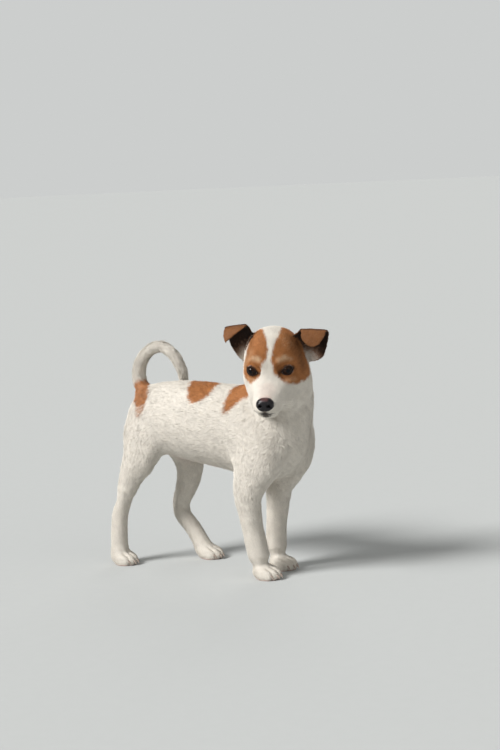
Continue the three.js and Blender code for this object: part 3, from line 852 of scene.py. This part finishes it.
def markings(points, coat):
    """How tan, cream, dark and pink the hair is at each place."""
    body, head = within(points), within(points, HEAD)
    on_head = (1 - smoothstep(head[:, 1], 62, 76)) * (coat["region"] == 0)
    marks = {name: np.zeros(len(points)) for name in ("tan", "cream", "dark", "pink")}

    def lay(name, strength):
        """Makes the hair at least this tan, cream, dark or pink."""
        marks[name] = np.maximum(marks[name], strength)

    lay("tan", face_mask(head) * on_head)
    for s in SIDES:
        lay("tan", 0.95 * patch(head, (s * 30, 46, 32), (s * 34, 52, 12), (14, 15), seed=5) * on_head)
    behind = smoothstep(head[:, 1], 36, 42)
    for k, (start, end, radii, strength) in enumerate(PATCHES):
        lay("tan", strength * behind * patch(body, start, end, radii, rough=1.6, seed=11 + k))
    mark_ears(marks, head, coat["ears"])
    root = patch(head, (-25, 27, 37), (-33, 25, 23), (3, 2.6), 1.2, 0.6, seed=31)
    lay("tan", root)
    lay("dark", 0.97 * root)

    for name, mirrored, strength, start, end, radii, soft, rough, seed in HEAD_MARKS:
        for s in SIDES if mirrored else (1,):
            a, b = ((s * x, y, z) for x, y, z in (start, end))
            lay(name, strength * patch(head, a, b, radii, soft, rough, seed))
    flecks = smoothstep(ripple(head, 2.4, 41), 0.15, 0.6)
    lay("cream", 0.45 * flecks * patch(head, (15, 20, 40), (21, 17, 30), (7, 7), 5.0, 1.0, seed=10))
    marks["cream"] *= on_head

    # Sable hair on the left, from the ear's root down to the eye's outer corner, made darker and carried
    # lower as painted shade on the left side of the head, and a little sable on the right.
    streaks = 0.6 + 0.4 * ripple(head, 3, 42)
    sable_and_shade = patch(head, (30, 26, 28), (38, 25, 0), (10, 9), 7.0, 2.0, seed=32) * on_head
    lay("dark", 0.58 * sable_and_shade * streaks)
    little = patch(head, (-24, 18, 30), (-28, 16, 14), (4, 4), 5.0, 2.0, seed=33)
    lay("dark", 0.3 * streaks * little * on_head)
    for s, reach in EYE_CORNERS.items():
        lay("dark", 0.92 * eye_rim(points, s))
        lay("dark", 0.85 * patch(head, (s * 29.5, 5, 2), (s * reach, 9, 4), (3.4, 1.6), 1.8, 0.5, seed=29))

    # Thin hair over pink skin under the belly, and the pads.
    lay("pink", 0.16 * patch(body, (0, -20, 139), (0, 60, 148), (20, 20), 8.0, 2.0, seed=23))
    lay("pink", 0.7 * (1 - smoothstep(body[:, 2], 1.2, 2.4)))
    return {name: np.clip(numbers, 0, 1) for name, numbers in marks.items()}


# ---------------------------------------- eyes
EYE_AT = {s: (s * 21.6, 6.6, 0.0) for s in SIDES}
EYE_RADIUS = 8.6


def gaze(s):
    """The eye's own frame, in millimetres, with -y along its gaze, x to the puppy's left and z up."""
    eye = HEAD @ Matrix.Translation(EYE_AT[s]) @ rotation("Z", s * 20)
    return eye @ rotation("X", -6) @ rotation("Y", s * -18)


def opening(angle, grow=0.0):
    """How far from the gaze the lids meet the eye, in degrees, round the eye: 0 is to its left, 90 is up."""
    c, s = np.cos(angle), np.sin(angle)
    wide, tall = 62.0 + grow, np.where(s > 0, 37.0, 35.0) + grow
    power = 1.42
    return 1 / ((np.abs(c) / wide) ** power + (np.abs(s) / tall) ** power) ** (1 / power)


def eye_polar(points, s):
    """Angle from the gaze in degrees, angle round it, and millimetres from the eyeball's middle."""
    q = within(points, gaze(s))
    r = np.linalg.norm(q, axis=1).clip(1e-6)
    return np.degrees(np.arccos(np.clip(-q[:, 1] / r, -1, 1))), np.arctan2(q[:, 2], q[:, 0]), r


def eyeball(s):
    """A ball with a bulging cornea, its pole along the gaze."""
    eye = unit_ball(72, 56)
    eye.name = "eyeball_" + SIDE_NAMES[s]
    co = read(eye.data.vertices, "co")
    tilt = np.degrees(np.arccos(np.clip(co[:, 2], -1, 1)))
    bulge = 1 + 0.085 * (1 - smoothstep(tilt, 8, 44))
    co *= (EYE_RADIUS * bulge)[:, None]
    out = np.hypot(co[:, 0], co[:, 1]) + (tilt > 90) * 20
    write_places(eye, co)
    paint(eye, {"out": out})
    eye.matrix_world = gaze(s) @ rotation("X", 90)
    settle_origin(eye)
    bpy.ops.object.shade_smooth()
    dress(eye, "wet eye", eye_finish)
    keep(eye, "eye", "eye_" + SIDE_NAMES[s])
    return eye


LID_ROUND = 72
LID_RINGS = (  # degrees beyond the opening's edge, and millimetres above the eyeball
    *((-3.5, -0.5), (-1.5, 0.2), (0.0, 0.6), (2.0, 0.8)),
    *((4.5, 0.75), (7.5, 0.5), (11.0, 0.1), (15.0, -0.7)),
)


def eyelids(s):
    """The lids: a thin shell over the eyeball with an almond opening, rolled over at a dark rim."""
    angle = np.linspace(0, 2 * math.pi, LID_ROUND, endpoint=False)
    rings = []
    for grow, lift in LID_RINGS:
        tilt = np.radians(opening(angle) + grow)
        r = EYE_RADIUS + lift + 0.35 * np.maximum(np.sin(angle), 0) * (grow > -1)
        way = np.stack([np.sin(tilt) * np.cos(angle), -np.cos(tilt), np.sin(tilt) * np.sin(angle)], -1)
        rings.append(way * r[:, None])
    places = moved(np.concatenate(rings), gaze(s))
    lids = mesh_of("eyelids_" + SIDE_NAMES[s], places, ring_faces(len(LID_RINGS), LID_ROUND))
    modify(lids, "SOLIDIFY", thickness=0.0004, offset=-1)
    modify(lids, "SUBSURF", levels=1, render_levels=1)
    co = read(lids.data.vertices, "co")
    tilt, around, _ = eye_polar(co, s)
    beyond = tilt - opening(around)
    coat = coat_at(co, np.tile((0.0, 0.0, 1.0), (len(co), 1)))
    marks = markings(co, coat)
    marks["dark"] = np.maximum(marks["dark"], 1 - smoothstep(beyond, 5, 12))
    marks["tan"] = np.maximum(marks["tan"], 0.6)
    paint(lids, marks)
    dress(lids, "skin under the coat", skin_finish)
    keep(lids, "coat")
    return lids


# ---------------------------------------- skin
FLESH = [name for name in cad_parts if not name.startswith(("eye", "nose", "ear"))]
OVERLAP = 0.0004  # each copy swells by this, so that copies of neighbouring nodes run into each other
DEEPEST = 4.0


def flesh_copy(name):
    """A merged, slightly swollen copy of a CAD node."""
    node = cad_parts[name]
    made = bpy.data.objects.new("flesh", node.data.copy())
    made.data.materials.clear()
    bpy.context.scene.collection.objects.link(made)
    with editing(made):
        bpy.ops.mesh.remove_doubles(threshold=1e-5)
    modify(made, "DISPLACE", strength=OVERLAP, mid_level=0)
    return made


def toes(name):
    """Four toes in a fan and the heel pad, so that the paw shows its toes."""
    x, y = PAWS[name]
    wide = PAW_WIDTH[name[:4]]
    pad = ball((x, y + 4, 8.6), (wide * 0.78, 13.2, 9.8))
    size = (wide * 0.3, 11.6, 8.3)
    fan = [ball((across, ahead, 7.4), size, turn=(8, turn)) for across, ahead, turn in toe_places(name)]
    return [pad] + fan


def face_forms():
    """Fillings for the sockets and the nose's bed, and the rounded lips and cheeks of a puppy."""
    made = [ball((0, -41, -31.5), (10.5, 8.5, 8.8), HEAD)]
    for s in SIDES:
        made += [
            ball(EYE_AT[s], (7.6, 7.6, 7.6), HEAD),
            ball((s * 8.2, -33, -36.5), (8.8, 12.5, 9), HEAD),
            ball((s * 15.5, 20, -26), (20, 22, 22), HEAD),
        ]
    return made


def toe_grooves(body):
    """How deep the grooves between the toes are, at places on the body."""
    sink = np.zeros(len(body))
    for name, (x, y) in PAWS.items():
        wide = PAW_WIDTH[name[:4]]
        ahead = y - body[:, 1]
        front = smoothstep(ahead - 2, 0, 9) * (np.abs(body[:, 0] - x) < wide * 1.3) * (ahead < 40)
        for gap in (-1, 0, 1):
            beside = body[:, 0] - x - gap * wide * 0.5 * (1 + 0.012 * ahead)
            sink += 1.7 * bell(beside, 1.6) * front * (1 - smoothstep(body[:, 2], 17, 26))
    return sink


def hock_hollows(body):
    """How deep the hollows before the tendons of the hind legs are, at places on the body."""
    sink = np.zeros(len(body))
    for name in ("hind_right", "hind_left"):
        line = curve_through([(x, y + 5, z) for x, y, z in LEG_STATIONS[name][2:6]], 30)
        index, gap = nearest(body[:, 1:], line[:, 1:])
        beside = (np.abs(body[:, 0] - line[index, 0]) < 26) * (body[:, 0] * line[0, 0] > 0)
        sink += 1.7 * bell(gap, 3.6) * np.sin(math.pi * index / (len(line) - 1)) * beside
    return sink


def sculpt(skin):
    """Finer forms of the paws, hocks, lips, brow, jaw and lids, and flat soles."""
    co = read(skin.data.vertices, "co")
    out = read(skin.data.vertex_normals, "vector")
    body, head = within(co), within(co, HEAD)
    sink = toe_grooves(body) + hock_hollows(body)
    x, y, z = head.T
    sink += 1.3 * bell(z - lip_height(y), 1.7) * smoothstep(-y, 4, 14) * (np.abs(x) < 26) * (y < 0)
    sink += 0.7 * bell(x, 3.2) * smoothstep(y, -12, 0) * (1 - smoothstep(y, 6, 30)) * (z > -12)
    for s in SIDES:
        along, gap = jaw_crease(head, s)
        sink += 3.4 * bell(gap, 5.5) * np.sin(math.pi * np.clip(along, 0, 1)) ** 0.7
        tilt, around, r = eye_polar(co, s)
        beyond = tilt - opening(around)
        bed = EYE_RADIUS - 1.0 + 1.4 * smoothstep(beyond, 0, 7)
        near = (1 - smoothstep(beyond, 14, 34)) * (r < 16)
        sink += near * np.clip(r - bed, -1.2, 3.0)
        above = smoothstep(np.sin(around), 0.1, 0.7) * (r < 20)
        sink += (0.8 * bell(beyond - 19, 6) - 0.9 * bell(beyond - 36, 10)) * above
    co = co - out * (sink * MM)[:, None]
    low = co[:, 2] < 0.0024
    co[low, 2] = np.clip(co[low, 2] - 0.0013, 0.0001, None)
    write_places(skin, co)


JAW = ((40, 50, -38), (38, 32, -50), (30, 16, -58), (18, 2, -62), (0, -6, -64))  # just behind the jaw's edge


def jaw_crease(head, s):
    """For places on the head: how far along the crease behind the jaw they lie, and how far from it."""
    line = curve_through(JAW, 40) * (s, 1, 1)
    index, gap = nearest(head, line)
    return 0.25 + 0.75 * index / (len(line) - 1), gap


def lip_height(y):
    """Height of the line between the lips, by how far back it is: the upper lips hang lowest half way."""
    return -38.3 - 4.7 * (1 - ((y + 22) / 36) ** 2)


def make_skin():
    """One skin over all the flesh, lying under it by the depth of the coat."""
    settings = bpy.context.scene.puppy_coat
    forms = [flesh_copy(name) for name in FLESH] + [ear_flesh(s) for s in SIDES] + face_forms()
    for name in PAWS:
        forms += toes(name)
    skin = join(*forms)
    skin.name = skin.data.name = "skin"
    modify(skin, "REMESH", mode="VOXEL", voxel_size=settings.fineness, adaptivity=0)
    co = read(skin.data.vertices, "co")
    coat = coat_at(co, read(skin.data.vertex_normals, "vector"))
    ear = coat["ears"]["ear"]
    gentle = weigh(skin, "gentle", 1 - 0.75 * ear)
    strong = weigh(skin, "strong", coat["settle"] * (1 - ear))
    modify(skin, "SMOOTH", factor=0.5, iterations=7, vertex_group=gentle)
    modify(skin, "SMOOTH", factor=0.5, iterations=26, vertex_group=strong)
    depth = weigh(skin, "depth", coat["depth"] / DEEPEST)
    modify(skin, "DISPLACE", strength=-DEEPEST * MM, mid_level=0, vertex_group=depth)
    sculpt(skin)
    sole = weigh(skin, "soft", (1 - 0.8 * ear) * (read(skin.data.vertices, "co")[:, 2] > 0.003))
    modify(skin, "SMOOTH", factor=0.5, iterations=2, vertex_group=sole)
    skin.vertex_groups.clear()
    with editing(skin):
        bpy.ops.uv.smart_project(angle_limit=math.radians(66), island_margin=0.001)
    skin.data.uv_layers[0].name = "OFBake"
    bpy.ops.object.shade_smooth()
    co = read(skin.data.vertices, "co")
    coat = coat_at(co, read(skin.data.vertex_normals, "vector"))
    paint(skin, markings(co, coat))
    dress(skin, "skin under the coat", skin_finish)
    keep(skin, "coat", *FLESH, "ear_left", "ear_right")
    return skin


# ---------------------------------------- coat
MOST_TUFTS = 32000  # in one piece of the coat
TUFT_FACES = np.array(((0, 1, 4), (0, 4, 3), (1, 2, 5), (1, 5, 4), (3, 4, 6), (4, 5, 6)))
TUFT_PATCH = 0.0015  # half the size of a tuft's patch on the coat's map
TUFT_MAP = np.array(((-1, -1), (0, -1), (1, -1), (-1, 0), (0, 0), (1, 0), (0, 1))) * TUFT_PATCH


def skin_spots(skin, rng, share):
    """Roots spread over the skin, as many on each face as the coat's numbers ask for."""
    mesh = skin.data
    mesh.calc_loop_triangles()
    corner = read(mesh.loop_triangles, "vertices").astype(int)
    uv = read(mesh.uv_layers["OFBake"].uv, "vector", 2)[read(mesh.loop_triangles, "loops").astype(int)]
    co = read(mesh.vertices, "co")
    out = read(mesh.vertex_normals, "vector")
    coat = coat_at(co, out)
    a, b, c = (co[corner[:, k]] for k in range(3))
    area = 0.5 * np.linalg.norm(np.cross(b - a, c - a), axis=1) / MM**2
    order = np.lexsort((a[:, 0].round(2), a[:, 1].round(2), a[:, 2].round(2)))
    wanted = np.cumsum((area * coat["density"][corner].mean(1))[order]) * share
    count = int(wanted[-1])
    face = order[np.searchsorted(wanted, (np.arange(count) + rng.random(count)))]
    w = rng.random((count, 2))
    w = np.where(w.sum(1, keepdims=True) > 1, 1 - w, w)
    w = np.column_stack([1 - w.sum(1), w])

    def mixed(values):
        return (values[corner[face]] * (w[..., None] if values.ndim > 1 else w)).sum(1)

    spots = {name: mixed(coat[name]) for name in ("hair", "wide", "way")}
    spots["at"] = mixed(co)
    spots["out"] = mixed(out)
    spots["uv"] = (uv[face] * w[..., None]).sum(1)
    spots["region"] = coat["region"][corner[face, 0]]
    spots["ear"] = mixed(coat["ears"]["ear"])
    for name, numbers in markings(co, coat).items():
        spots[name] = mixed(numbers)
    for name in ("way", "out"):
        spots[name] = unit(spots[name])
    return spots


def clear_of_face(spots, reach):
    """Which tufts leave the eyes, the nose, the lips and the soles bare."""
    tips = spots["at"] + reach
    stays = spots["at"][:, 2] > 0.0022
    for points in (spots["at"], spots["at"] + 0.5 * reach, tips):
        x, y, z = within(points, HEAD).T
        nose = np.sqrt((x / 12.1) ** 2 + ((y + 57.5) / 8.6) ** 2 + ((z + 26) / 10.0) ** 2)
        stays &= nose > 1
        lip = np.abs(z - lip_height(y)) < 0.9 * smoothstep(-y, 30, 50)
        stays &= ~(lip & (y > -64) & (np.abs(x) < 26))
        stays &= ~((np.abs(x) < 1.6) & (y < -52) & (z < -32) & (z > -40))
        for s in SIDES:
            tilt, around, r = eye_polar(points, s)
            stays &= ~((tilt < opening(around, 3)) & (r < 15))
    return stays


def grow_coat(skin):
    """Tufts that rise from the skin, follow the lie and part into clumps, in pieces by region."""
    settings = bpy.context.scene.puppy_coat
    rng = np.random.default_rng(7)
    share = settings.fullness * 1.0
    spots = skin_spots(skin, rng, share)
    n = len(spots["at"])
    mm = within(spots["at"])
    way, out = spots["way"], spots["out"]
    side = np.cross(out, way)
    swirl = 0.16 * ripple(mm, 24, 31) + 0.14 * ripple(mm, 8, 32) + 0.17 * rng.normal(size=n)
    way = way * np.cos(swirl)[:, None] + side * np.sin(swirl)[:, None]
    side = unit(np.cross(out, way))
    clump = 0.5 + 0.5 * ripple(mm, 6.5, 33)
    shaggy = smoothstep(spots["hair"], 3.0, 6.2)
    hair = spots["hair"] * (0.8 + 0.35 * rng.random(n) + 0.12 * clump) * MM
    wide = spots["wide"] * (0.75 + 0.5 * rng.random(n)) * MM
    loose = 12 * (rng.random(n) < 0.04)
    lift = 9 + 5 * rng.random(n) + (3 + 4 * shaggy) * clump
    lift = np.radians(lift + 3 * np.abs(rng.normal(size=n)) + loose)
    lift *= 1 - 0.2 * spots["ear"]
    middle = way * (0.52 * np.cos(lift * 1.25))[:, None] + out * (0.52 * np.sin(lift * 1.25))[:, None]
    tip = way * np.cos(lift * 0.85)[:, None] + out * np.sin(lift * 0.85)[:, None]
    stays = clear_of_face(spots, tip * hair[:, None])
    root = spots["at"] - out * (0.1 * wide)[:, None]
    half, ridge = side * (0.5 * wide)[:, None], out * (0.18 * wide)[:, None]
    mid = root + middle * hair[:, None]
    end = root + tip * hair[:, None]
    places = np.stack(
        [root - 0.8 * half, root + ridge, root + 0.8 * half, mid - half, mid + ridge, mid + half, end], axis=1
    )
    places[..., 2] = np.maximum(places[..., 2], 0.0002)
    # Each tuft's shade number: random tone, and painted shade on the flatter tufts between clumps.
    shade = 0.92 + 0.08 * rng.random(n) + 0.04 * ripple(mm, 15, 34) - (0.04 + 0.05 * shaggy) * (1 - clump)
    painted = {name: spots[name] for name in ("tan", "cream", "dark", "pink")}
    mixed = 4 * painted["tan"] * (1 - painted["tan"])
    painted["tan"] = np.clip(painted["tan"] + 0.25 * rng.normal(size=n) * mixed, 0, 1)
    darker = 0.3 * rng.random(n) ** 3 + 0.08 * (1 + ripple(mm, 11, 35))
    painted["dark"] = np.clip(painted["dark"] + painted["tan"] * (1 - painted["dark"]) * darker, 0, 1)
    made = []
    for number, region in enumerate(REGIONS):
        chosen = np.flatnonzero(stays & (spots["region"] == number))
        if not len(chosen):
            continue
        chosen = chosen[np.argsort(spots["at"][chosen, 1], kind="stable")]
        pieces = np.array_split(chosen, math.ceil(len(chosen) / MOST_TUFTS))
        for k, some in enumerate(pieces):
            name = "coat_" + region + ("" if len(pieces) == 1 else "_" + str(k + 1))
            made.append(tuft_piece(name, some, places, spots["uv"], painted, shade))
    return made


def tuft_piece(name, some, places, uv, painted, shade):
    """A piece of the coat, made of some of the tufts."""
    count = len(some)
    faces = (TUFT_FACES[None] + 7 * np.arange(count)[:, None, None]).reshape(-1, 3)
    piece = mesh_of(name, places[some].reshape(-1, 3), faces)
    values = {key: np.repeat(numbers[some], 7) for key, numbers in painted.items()}
    values["shade"] = np.repeat(shade[some], 7)
    values["along"] = np.tile((0, 0, 0, 0.5, 0.5, 0.5, 1.0), count)
    paint(piece, values)
    corners = TUFT_MAP[TUFT_FACES.ravel()][None] + uv[some][:, None, :]
    map_coat(piece, corners)
    dress(piece, "short hair", hair_finish)
    keep(piece, "coat")
    return piece


# ---------------------------------------- nose, lips and claws
def nose_leather():
    """The nose: a rounded wedge with two nostrils, their side slits, and a furrow down the middle."""
    nose = unit_ball(112, 80)
    nose.name = "nose_leather"
    u = read(nose.data.vertices, "co")
    x, y, z = u.T
    box = (np.abs(x) ** 2.5 + np.abs(y) ** 2.3 + np.abs(z) ** 2.4) ** (1 / 2.4)
    u = u / box[:, None]
    x, y, z = u.T
    wide = 11.4 * (1 - 0.20 * smoothstep(-z, 0.1, 1.0) - 0.06 * smoothstep(z, 0.3, 1.0))
    co = np.stack([x * wide, y * 8.0, z * 9.3], -1)
    front = smoothstep(-y, 0.1, 0.5)
    dent = np.zeros(len(co))
    for s in SIDES:
        hole = np.hypot((co[:, 0] - s * 5.3) / 2.6, (co[:, 2] + 0.4) / 2.2)
        dent += 3.2 * (1 - smoothstep(hole, 0.45, 1.15)) * front
        along = (co[:, 0] * s - 5.2) / 4.2
        slit = 1 - smoothstep(np.abs(co[:, 2] + 1.3 + 1.6 * np.clip(along, 0, 1)), 0.2, 1.1)
        dent += 1.9 * slit * smoothstep(along, -0.1, 0.3) * (1 - smoothstep(along, 1.0, 1.35))
        wing = np.hypot((co[:, 0] - s * 6.8) / 3.2, (co[:, 2] - 2.2) / 2.6)
        dent -= 0.7 * (1 - smoothstep(wing, 0.3, 1.2)) * front
    dent += 0.8 * bell(co[:, 0], 0.8) * smoothstep(-co[:, 2], -1.5, 1.5) * front
    inward = np.stack([-0.15 * np.sign(co[:, 0]), np.ones(len(co)), np.zeros(len(co))], -1)
    co += inward * dent[:, None]
    write_places(nose, co)
    top = smoothstep(co[:, 2], 4.6, 7.6) * (1 - smoothstep(np.abs(co[:, 0]), 3.0, 6.5))
    paint(nose, {"pink": 0.15 * top})
    nose.matrix_world = HEAD @ Matrix.Translation((0, -57 + SHORTER, -26 - LOWER)) @ rotation("X", -6)
    settle_origin(nose)
    bpy.ops.object.shade_smooth()
    dress(nose, "nose leather", leather_finish, 0.33)
    keep(nose, "nose_leather", "nose")
    return nose


def tube(name, line, radii, sides=12):
    """A closed tube along points in metres, with a radius at each."""
    way = unit(np.gradient(line, axis=0))
    first = unit(np.cross(way, (0, 0, 1.0)))
    second = np.cross(way, first)
    angle = np.linspace(0, 2 * math.pi, sides, endpoint=False)[None, :, None]
    ring = first[:, None] * np.cos(angle) + second[:, None] * np.sin(angle)
    places = line[:, None] + ring * radii[:, None, None]
    turned_over = ring_faces(len(line), sides)[:, (0, 3, 2, 1)]
    made = mesh_of(name, places.reshape(-1, 3), turned_over)
    with editing(made):
        bpy.ops.mesh.select_all(action="DESELECT")
        bpy.ops.mesh.select_non_manifold()
        bpy.ops.mesh.fill_holes(sides=0)
        bpy.ops.mesh.select_all(action="SELECT")
        bpy.ops.mesh.normals_make_consistent(inside=False)
    bpy.ops.object.shade_smooth()
    return made


def lip_lines(skin):
    """The dark edge of the lips, laid on the skin from one corner of the mouth to the other."""
    bvh = BVHTree.FromObject(skin, bpy.context.evaluated_depsgraph_get())
    line = []
    for turn in np.radians(np.linspace(-64, 64, 75)):
        middle = np.array((0, -38, -41))
        way = np.array((math.sin(turn), -math.cos(turn), 0))
        for _ in range(3):
            out = middle + 40 * way
            hit = bvh.ray_cast(place(*out, HEAD), (place(*middle, HEAD) - place(*out, HEAD)).normalized())[0]
            found = within(np.array(hit)[None], HEAD)[0]
            middle[2] = lip_height(found[1])
        line.append(hit)
    line = np.array(line)
    for _ in range(4):
        line[1:-1] = (line[:-2] + 2 * line[1:-1] + line[2:]) / 4
    share = np.abs(np.linspace(-1, 1, len(line)))
    lips = tube("lip_edges", line, (0.9 - 0.82 * share**1.3) * MM)
    dress(lips, "lip leather", leather_finish, 0.4)
    paint(lips, {"pink": np.zeros(len(lips.data.vertices))})
    keep(lips, "nose_leather")
    return lips


WHISKER_ROOTS = (
    *((13, -47, -29), (15, -43, -33), (16, -38, -28)),
    *((17, -35, -34), (18, -31, -30), (18, -27, -34)),
)


def whiskers(skin):
    """A few fine hairs on each side of the muzzle, bent backwards and down."""
    bvh = BVHTree.FromObject(skin, bpy.context.evaluated_depsgraph_get())
    rng = np.random.default_rng(5)
    made = []
    t = np.linspace(0, 1, 9)[:, None]
    for s in SIDES:
        for x, y, z in WHISKER_ROOTS:
            root, out, _, _ = bvh.find_nearest(place(s * (x + 6), y, z, HEAD))
            out = within(np.array([root, root + out * MM]), HEAD)
            away = out[1] - out[0] + np.array((0, 0.5, -0.1))
            length = 20 + 8 * rng.random()
            bend = np.array((0, 0.35, -0.3 - 0.2 * rng.random()))
            line = out[0] - away + length * (away * t + bend * t**2)
            made.append(tube("whisker", on_scene(line, HEAD), (0.13 - 0.09 * t[:, 0]) * MM, 5))
    piece = join(*made)
    piece.name = "whiskers"
    count = len(piece.data.vertices)
    paint(piece, {name: np.zeros(count) for name in ("tan", "cream", "dark", "pink")})
    paint(piece, {"shade": np.ones(count), "along": np.ones(count)})
    corners = read(piece.data.vertices, "co")[read(piece.data.loops, "vertex_index", 1).astype(int)]
    map_coat(piece, 0.5 + 0.01 * corners[:, 1:])
    dress(piece, "short hair", hair_finish)
    keep(piece, "coat")
    return piece


def claws(name):
    """The claws of one paw: short curved cones in front of the toes."""
    t = np.linspace(0, 1, 12)[:, None]
    made = []
    for across, ahead, turn in toe_places(name):
        way = np.array((math.sin(math.radians(turn)), -math.cos(math.radians(turn)), 0))
        start = np.array((across, ahead, 0)) + way * 9.6
        line = start + way * (4.6 * t) + np.array((0, 0, 1)) * (7.0 - 1.0 * t - 4.0 * t**2)
        made.append(tube("claw", on_scene(line), 1.35 * (1 - 0.86 * t[:, 0] ** 1.6) * MM, 10))
    piece = join(*made)
    piece.name = "claws_" + name
    dress(piece, "claw horn", horn_finish)
    keep(piece, "nose_leather")
    return piece


# ---------------------------------------- operators
FLOOR_SIZE = 80.0
LIGHTS = (  # name, where it comes from, how wide it looks in degrees, and its strength
    ("key light", (-2.45, 1.1, 2.3), 22, 3.85),
    ("fill light", (-0.4, -3.0, 1.6), 50, 0.3),
    ("rim light", (2.6, 1.4, 2.0), 30, 0.35),
)
SKY_COLOUR = (0.96, 0.98, 0.97)
SKY_LIGHT, SKY_BEHIND = 0.32, 0.63  # the sky's strength on the puppy, and as it looks behind the floor


def paint_sky(world):
    """A pale sky: its light on the puppy is dimmer than it looks behind the floor, which it matches."""
    world.use_nodes = True
    tree = world.node_tree
    sky = tree.nodes["Background"]
    sky.inputs["Color"].default_value = (*SKY_COLOUR, 1)
    seen = tree.nodes.new("ShaderNodeLightPath")
    strength = tree.nodes.new("ShaderNodeMapRange")
    strength.inputs["To Min"].default_value = SKY_LIGHT
    strength.inputs["To Max"].default_value = SKY_BEHIND
    tree.links.new(seen.outputs["Is Camera Ray"], strength.inputs["Value"])
    tree.links.new(strength.outputs["Result"], sky.inputs["Strength"])


class PUPPY_OT_stage(bpy.types.Operator):
    """Adds the floor, the soft lights and the camera."""

    bl_idname = "puppy.stage"
    bl_label = "Stage"

    def execute(self, context):
        settings = context.scene.puppy_stage
        bpy.ops.object.select_all(action="DESELECT")
        bpy.ops.mesh.primitive_plane_add(size=FLOOR_SIZE)
        floor = context.object
        floor.name = "floor"
        dress(floor, "matt floor", floor_finish)

        for name, at, spread, power in LIGHTS:
            bpy.ops.object.light_add(type="SUN", location=at)
            light = context.object
            light.name = name
            light.data.angle = math.radians(spread)
            light.data.energy = power
            light.rotation_euler = Vector(at).to_track_quat("Z", "Y").to_euler()
        world = context.scene.world or bpy.data.worlds.new("World")
        context.scene.world = world
        paint_sky(world)
        context.scene.view_settings.view_transform = "Standard"

        bpy.ops.object.camera_add(location=settings.camera_at)
        camera = context.object
        a, e, roll = settings.azimuth, settings.elevation, settings.roll
        back = Vector((math.sin(a) * math.cos(e), -math.cos(a) * math.cos(e), math.sin(e)))
        level = (-back).cross(Vector((0, 0, 1))).normalized()
        upright = level.cross(-back)
        right = level * math.cos(roll) + upright * math.sin(roll)
        up = upright * math.cos(roll) - level * math.sin(roll)
        camera.rotation_euler = Matrix((right, up, back)).transposed().to_euler()
        camera.data.lens = settings.lens
        camera.data.clip_end = 100
        context.scene.camera = camera
        return {"FINISHED"}


class PUPPY_OT_skin(bpy.types.Operator):
    """Makes the skin from the flesh."""

    bl_idname = "puppy.skin"
    bl_label = "Skin"

    def execute(self, context):
        make_skin()
        return {"FINISHED"}


class PUPPY_OT_eyes(bpy.types.Operator):
    """Makes the eyeballs and the lids."""

    bl_idname = "puppy.eyes"
    bl_label = "Eyes and Lids"

    def execute(self, context):
        for s in SIDES:
            eyeball(s)
            eyelids(s)
        return {"FINISHED"}


class PUPPY_OT_nose(bpy.types.Operator):
    """Makes the nose leather and the edges of the lips."""

    bl_idname = "puppy.nose"
    bl_label = "Nose and Lips"

    def execute(self, context):
        nose_leather()
        lip_lines(bpy.data.objects["skin"])
        return {"FINISHED"}


class PUPPY_OT_claws(bpy.types.Operator):
    """Makes the claws of the four paws."""

    bl_idname = "puppy.claws"
    bl_label = "Claws"

    def execute(self, context):
        for name in PAWS:
            claws(name)
        return {"FINISHED"}


class PUPPY_OT_coat(bpy.types.Operator):
    """Grows the short hair in tufts over the skin."""

    bl_idname = "puppy.coat"
    bl_label = "Coat"

    def execute(self, context):
        grow_coat(bpy.data.objects["skin"])
        whiskers(bpy.data.objects["skin"])
        return {"FINISHED"}


class PUPPY_PT_panel(bpy.types.Panel):
    """The puppy's settings and pieces."""

    bl_idname = "PUPPY_PT_panel"
    bl_label = "Standing Puppy"
    bl_space_type = "VIEW_3D"
    bl_region_type = "UI"
    bl_category = "Puppy"

    def draw(self, context):
        for group in SETTINGS:
            settings = getattr(context.scene, group)
            for name in settings.__annotations__:
                self.layout.prop(settings, name)
        for operator in OPERATORS:
            self.layout.operator(operator.bl_idname)


OPERATORS = (PUPPY_OT_stage, PUPPY_OT_skin, PUPPY_OT_eyes, PUPPY_OT_nose, PUPPY_OT_claws, PUPPY_OT_coat)
SETTINGS = {
    "puppy_coat": PuppyCoatSettings,
    "puppy_face": PuppyFaceSettings,
    "puppy_stage": PuppyStageSettings,
}


def register():
    for name, group in SETTINGS.items():
        bpy.utils.register_class(group)
        setattr(bpy.types.Scene, name, bpy.props.PointerProperty(type=group))
    for made in (*OPERATORS, PUPPY_PT_panel):
        bpy.utils.register_class(made)


def unregister():
    for made in (PUPPY_PT_panel, *reversed(OPERATORS)):
        bpy.utils.unregister_class(made)
    for name, group in SETTINGS.items():
        delattr(bpy.types.Scene, name)
        bpy.utils.unregister_class(group)


def main():
    register()
    bpy.ops.puppy.stage()
    bpy.ops.puppy.skin()
    bpy.ops.puppy.eyes()
    bpy.ops.puppy.nose()
    bpy.ops.puppy.claws()
    bpy.ops.puppy.coat()


if __name__ == "__main__":
    main()
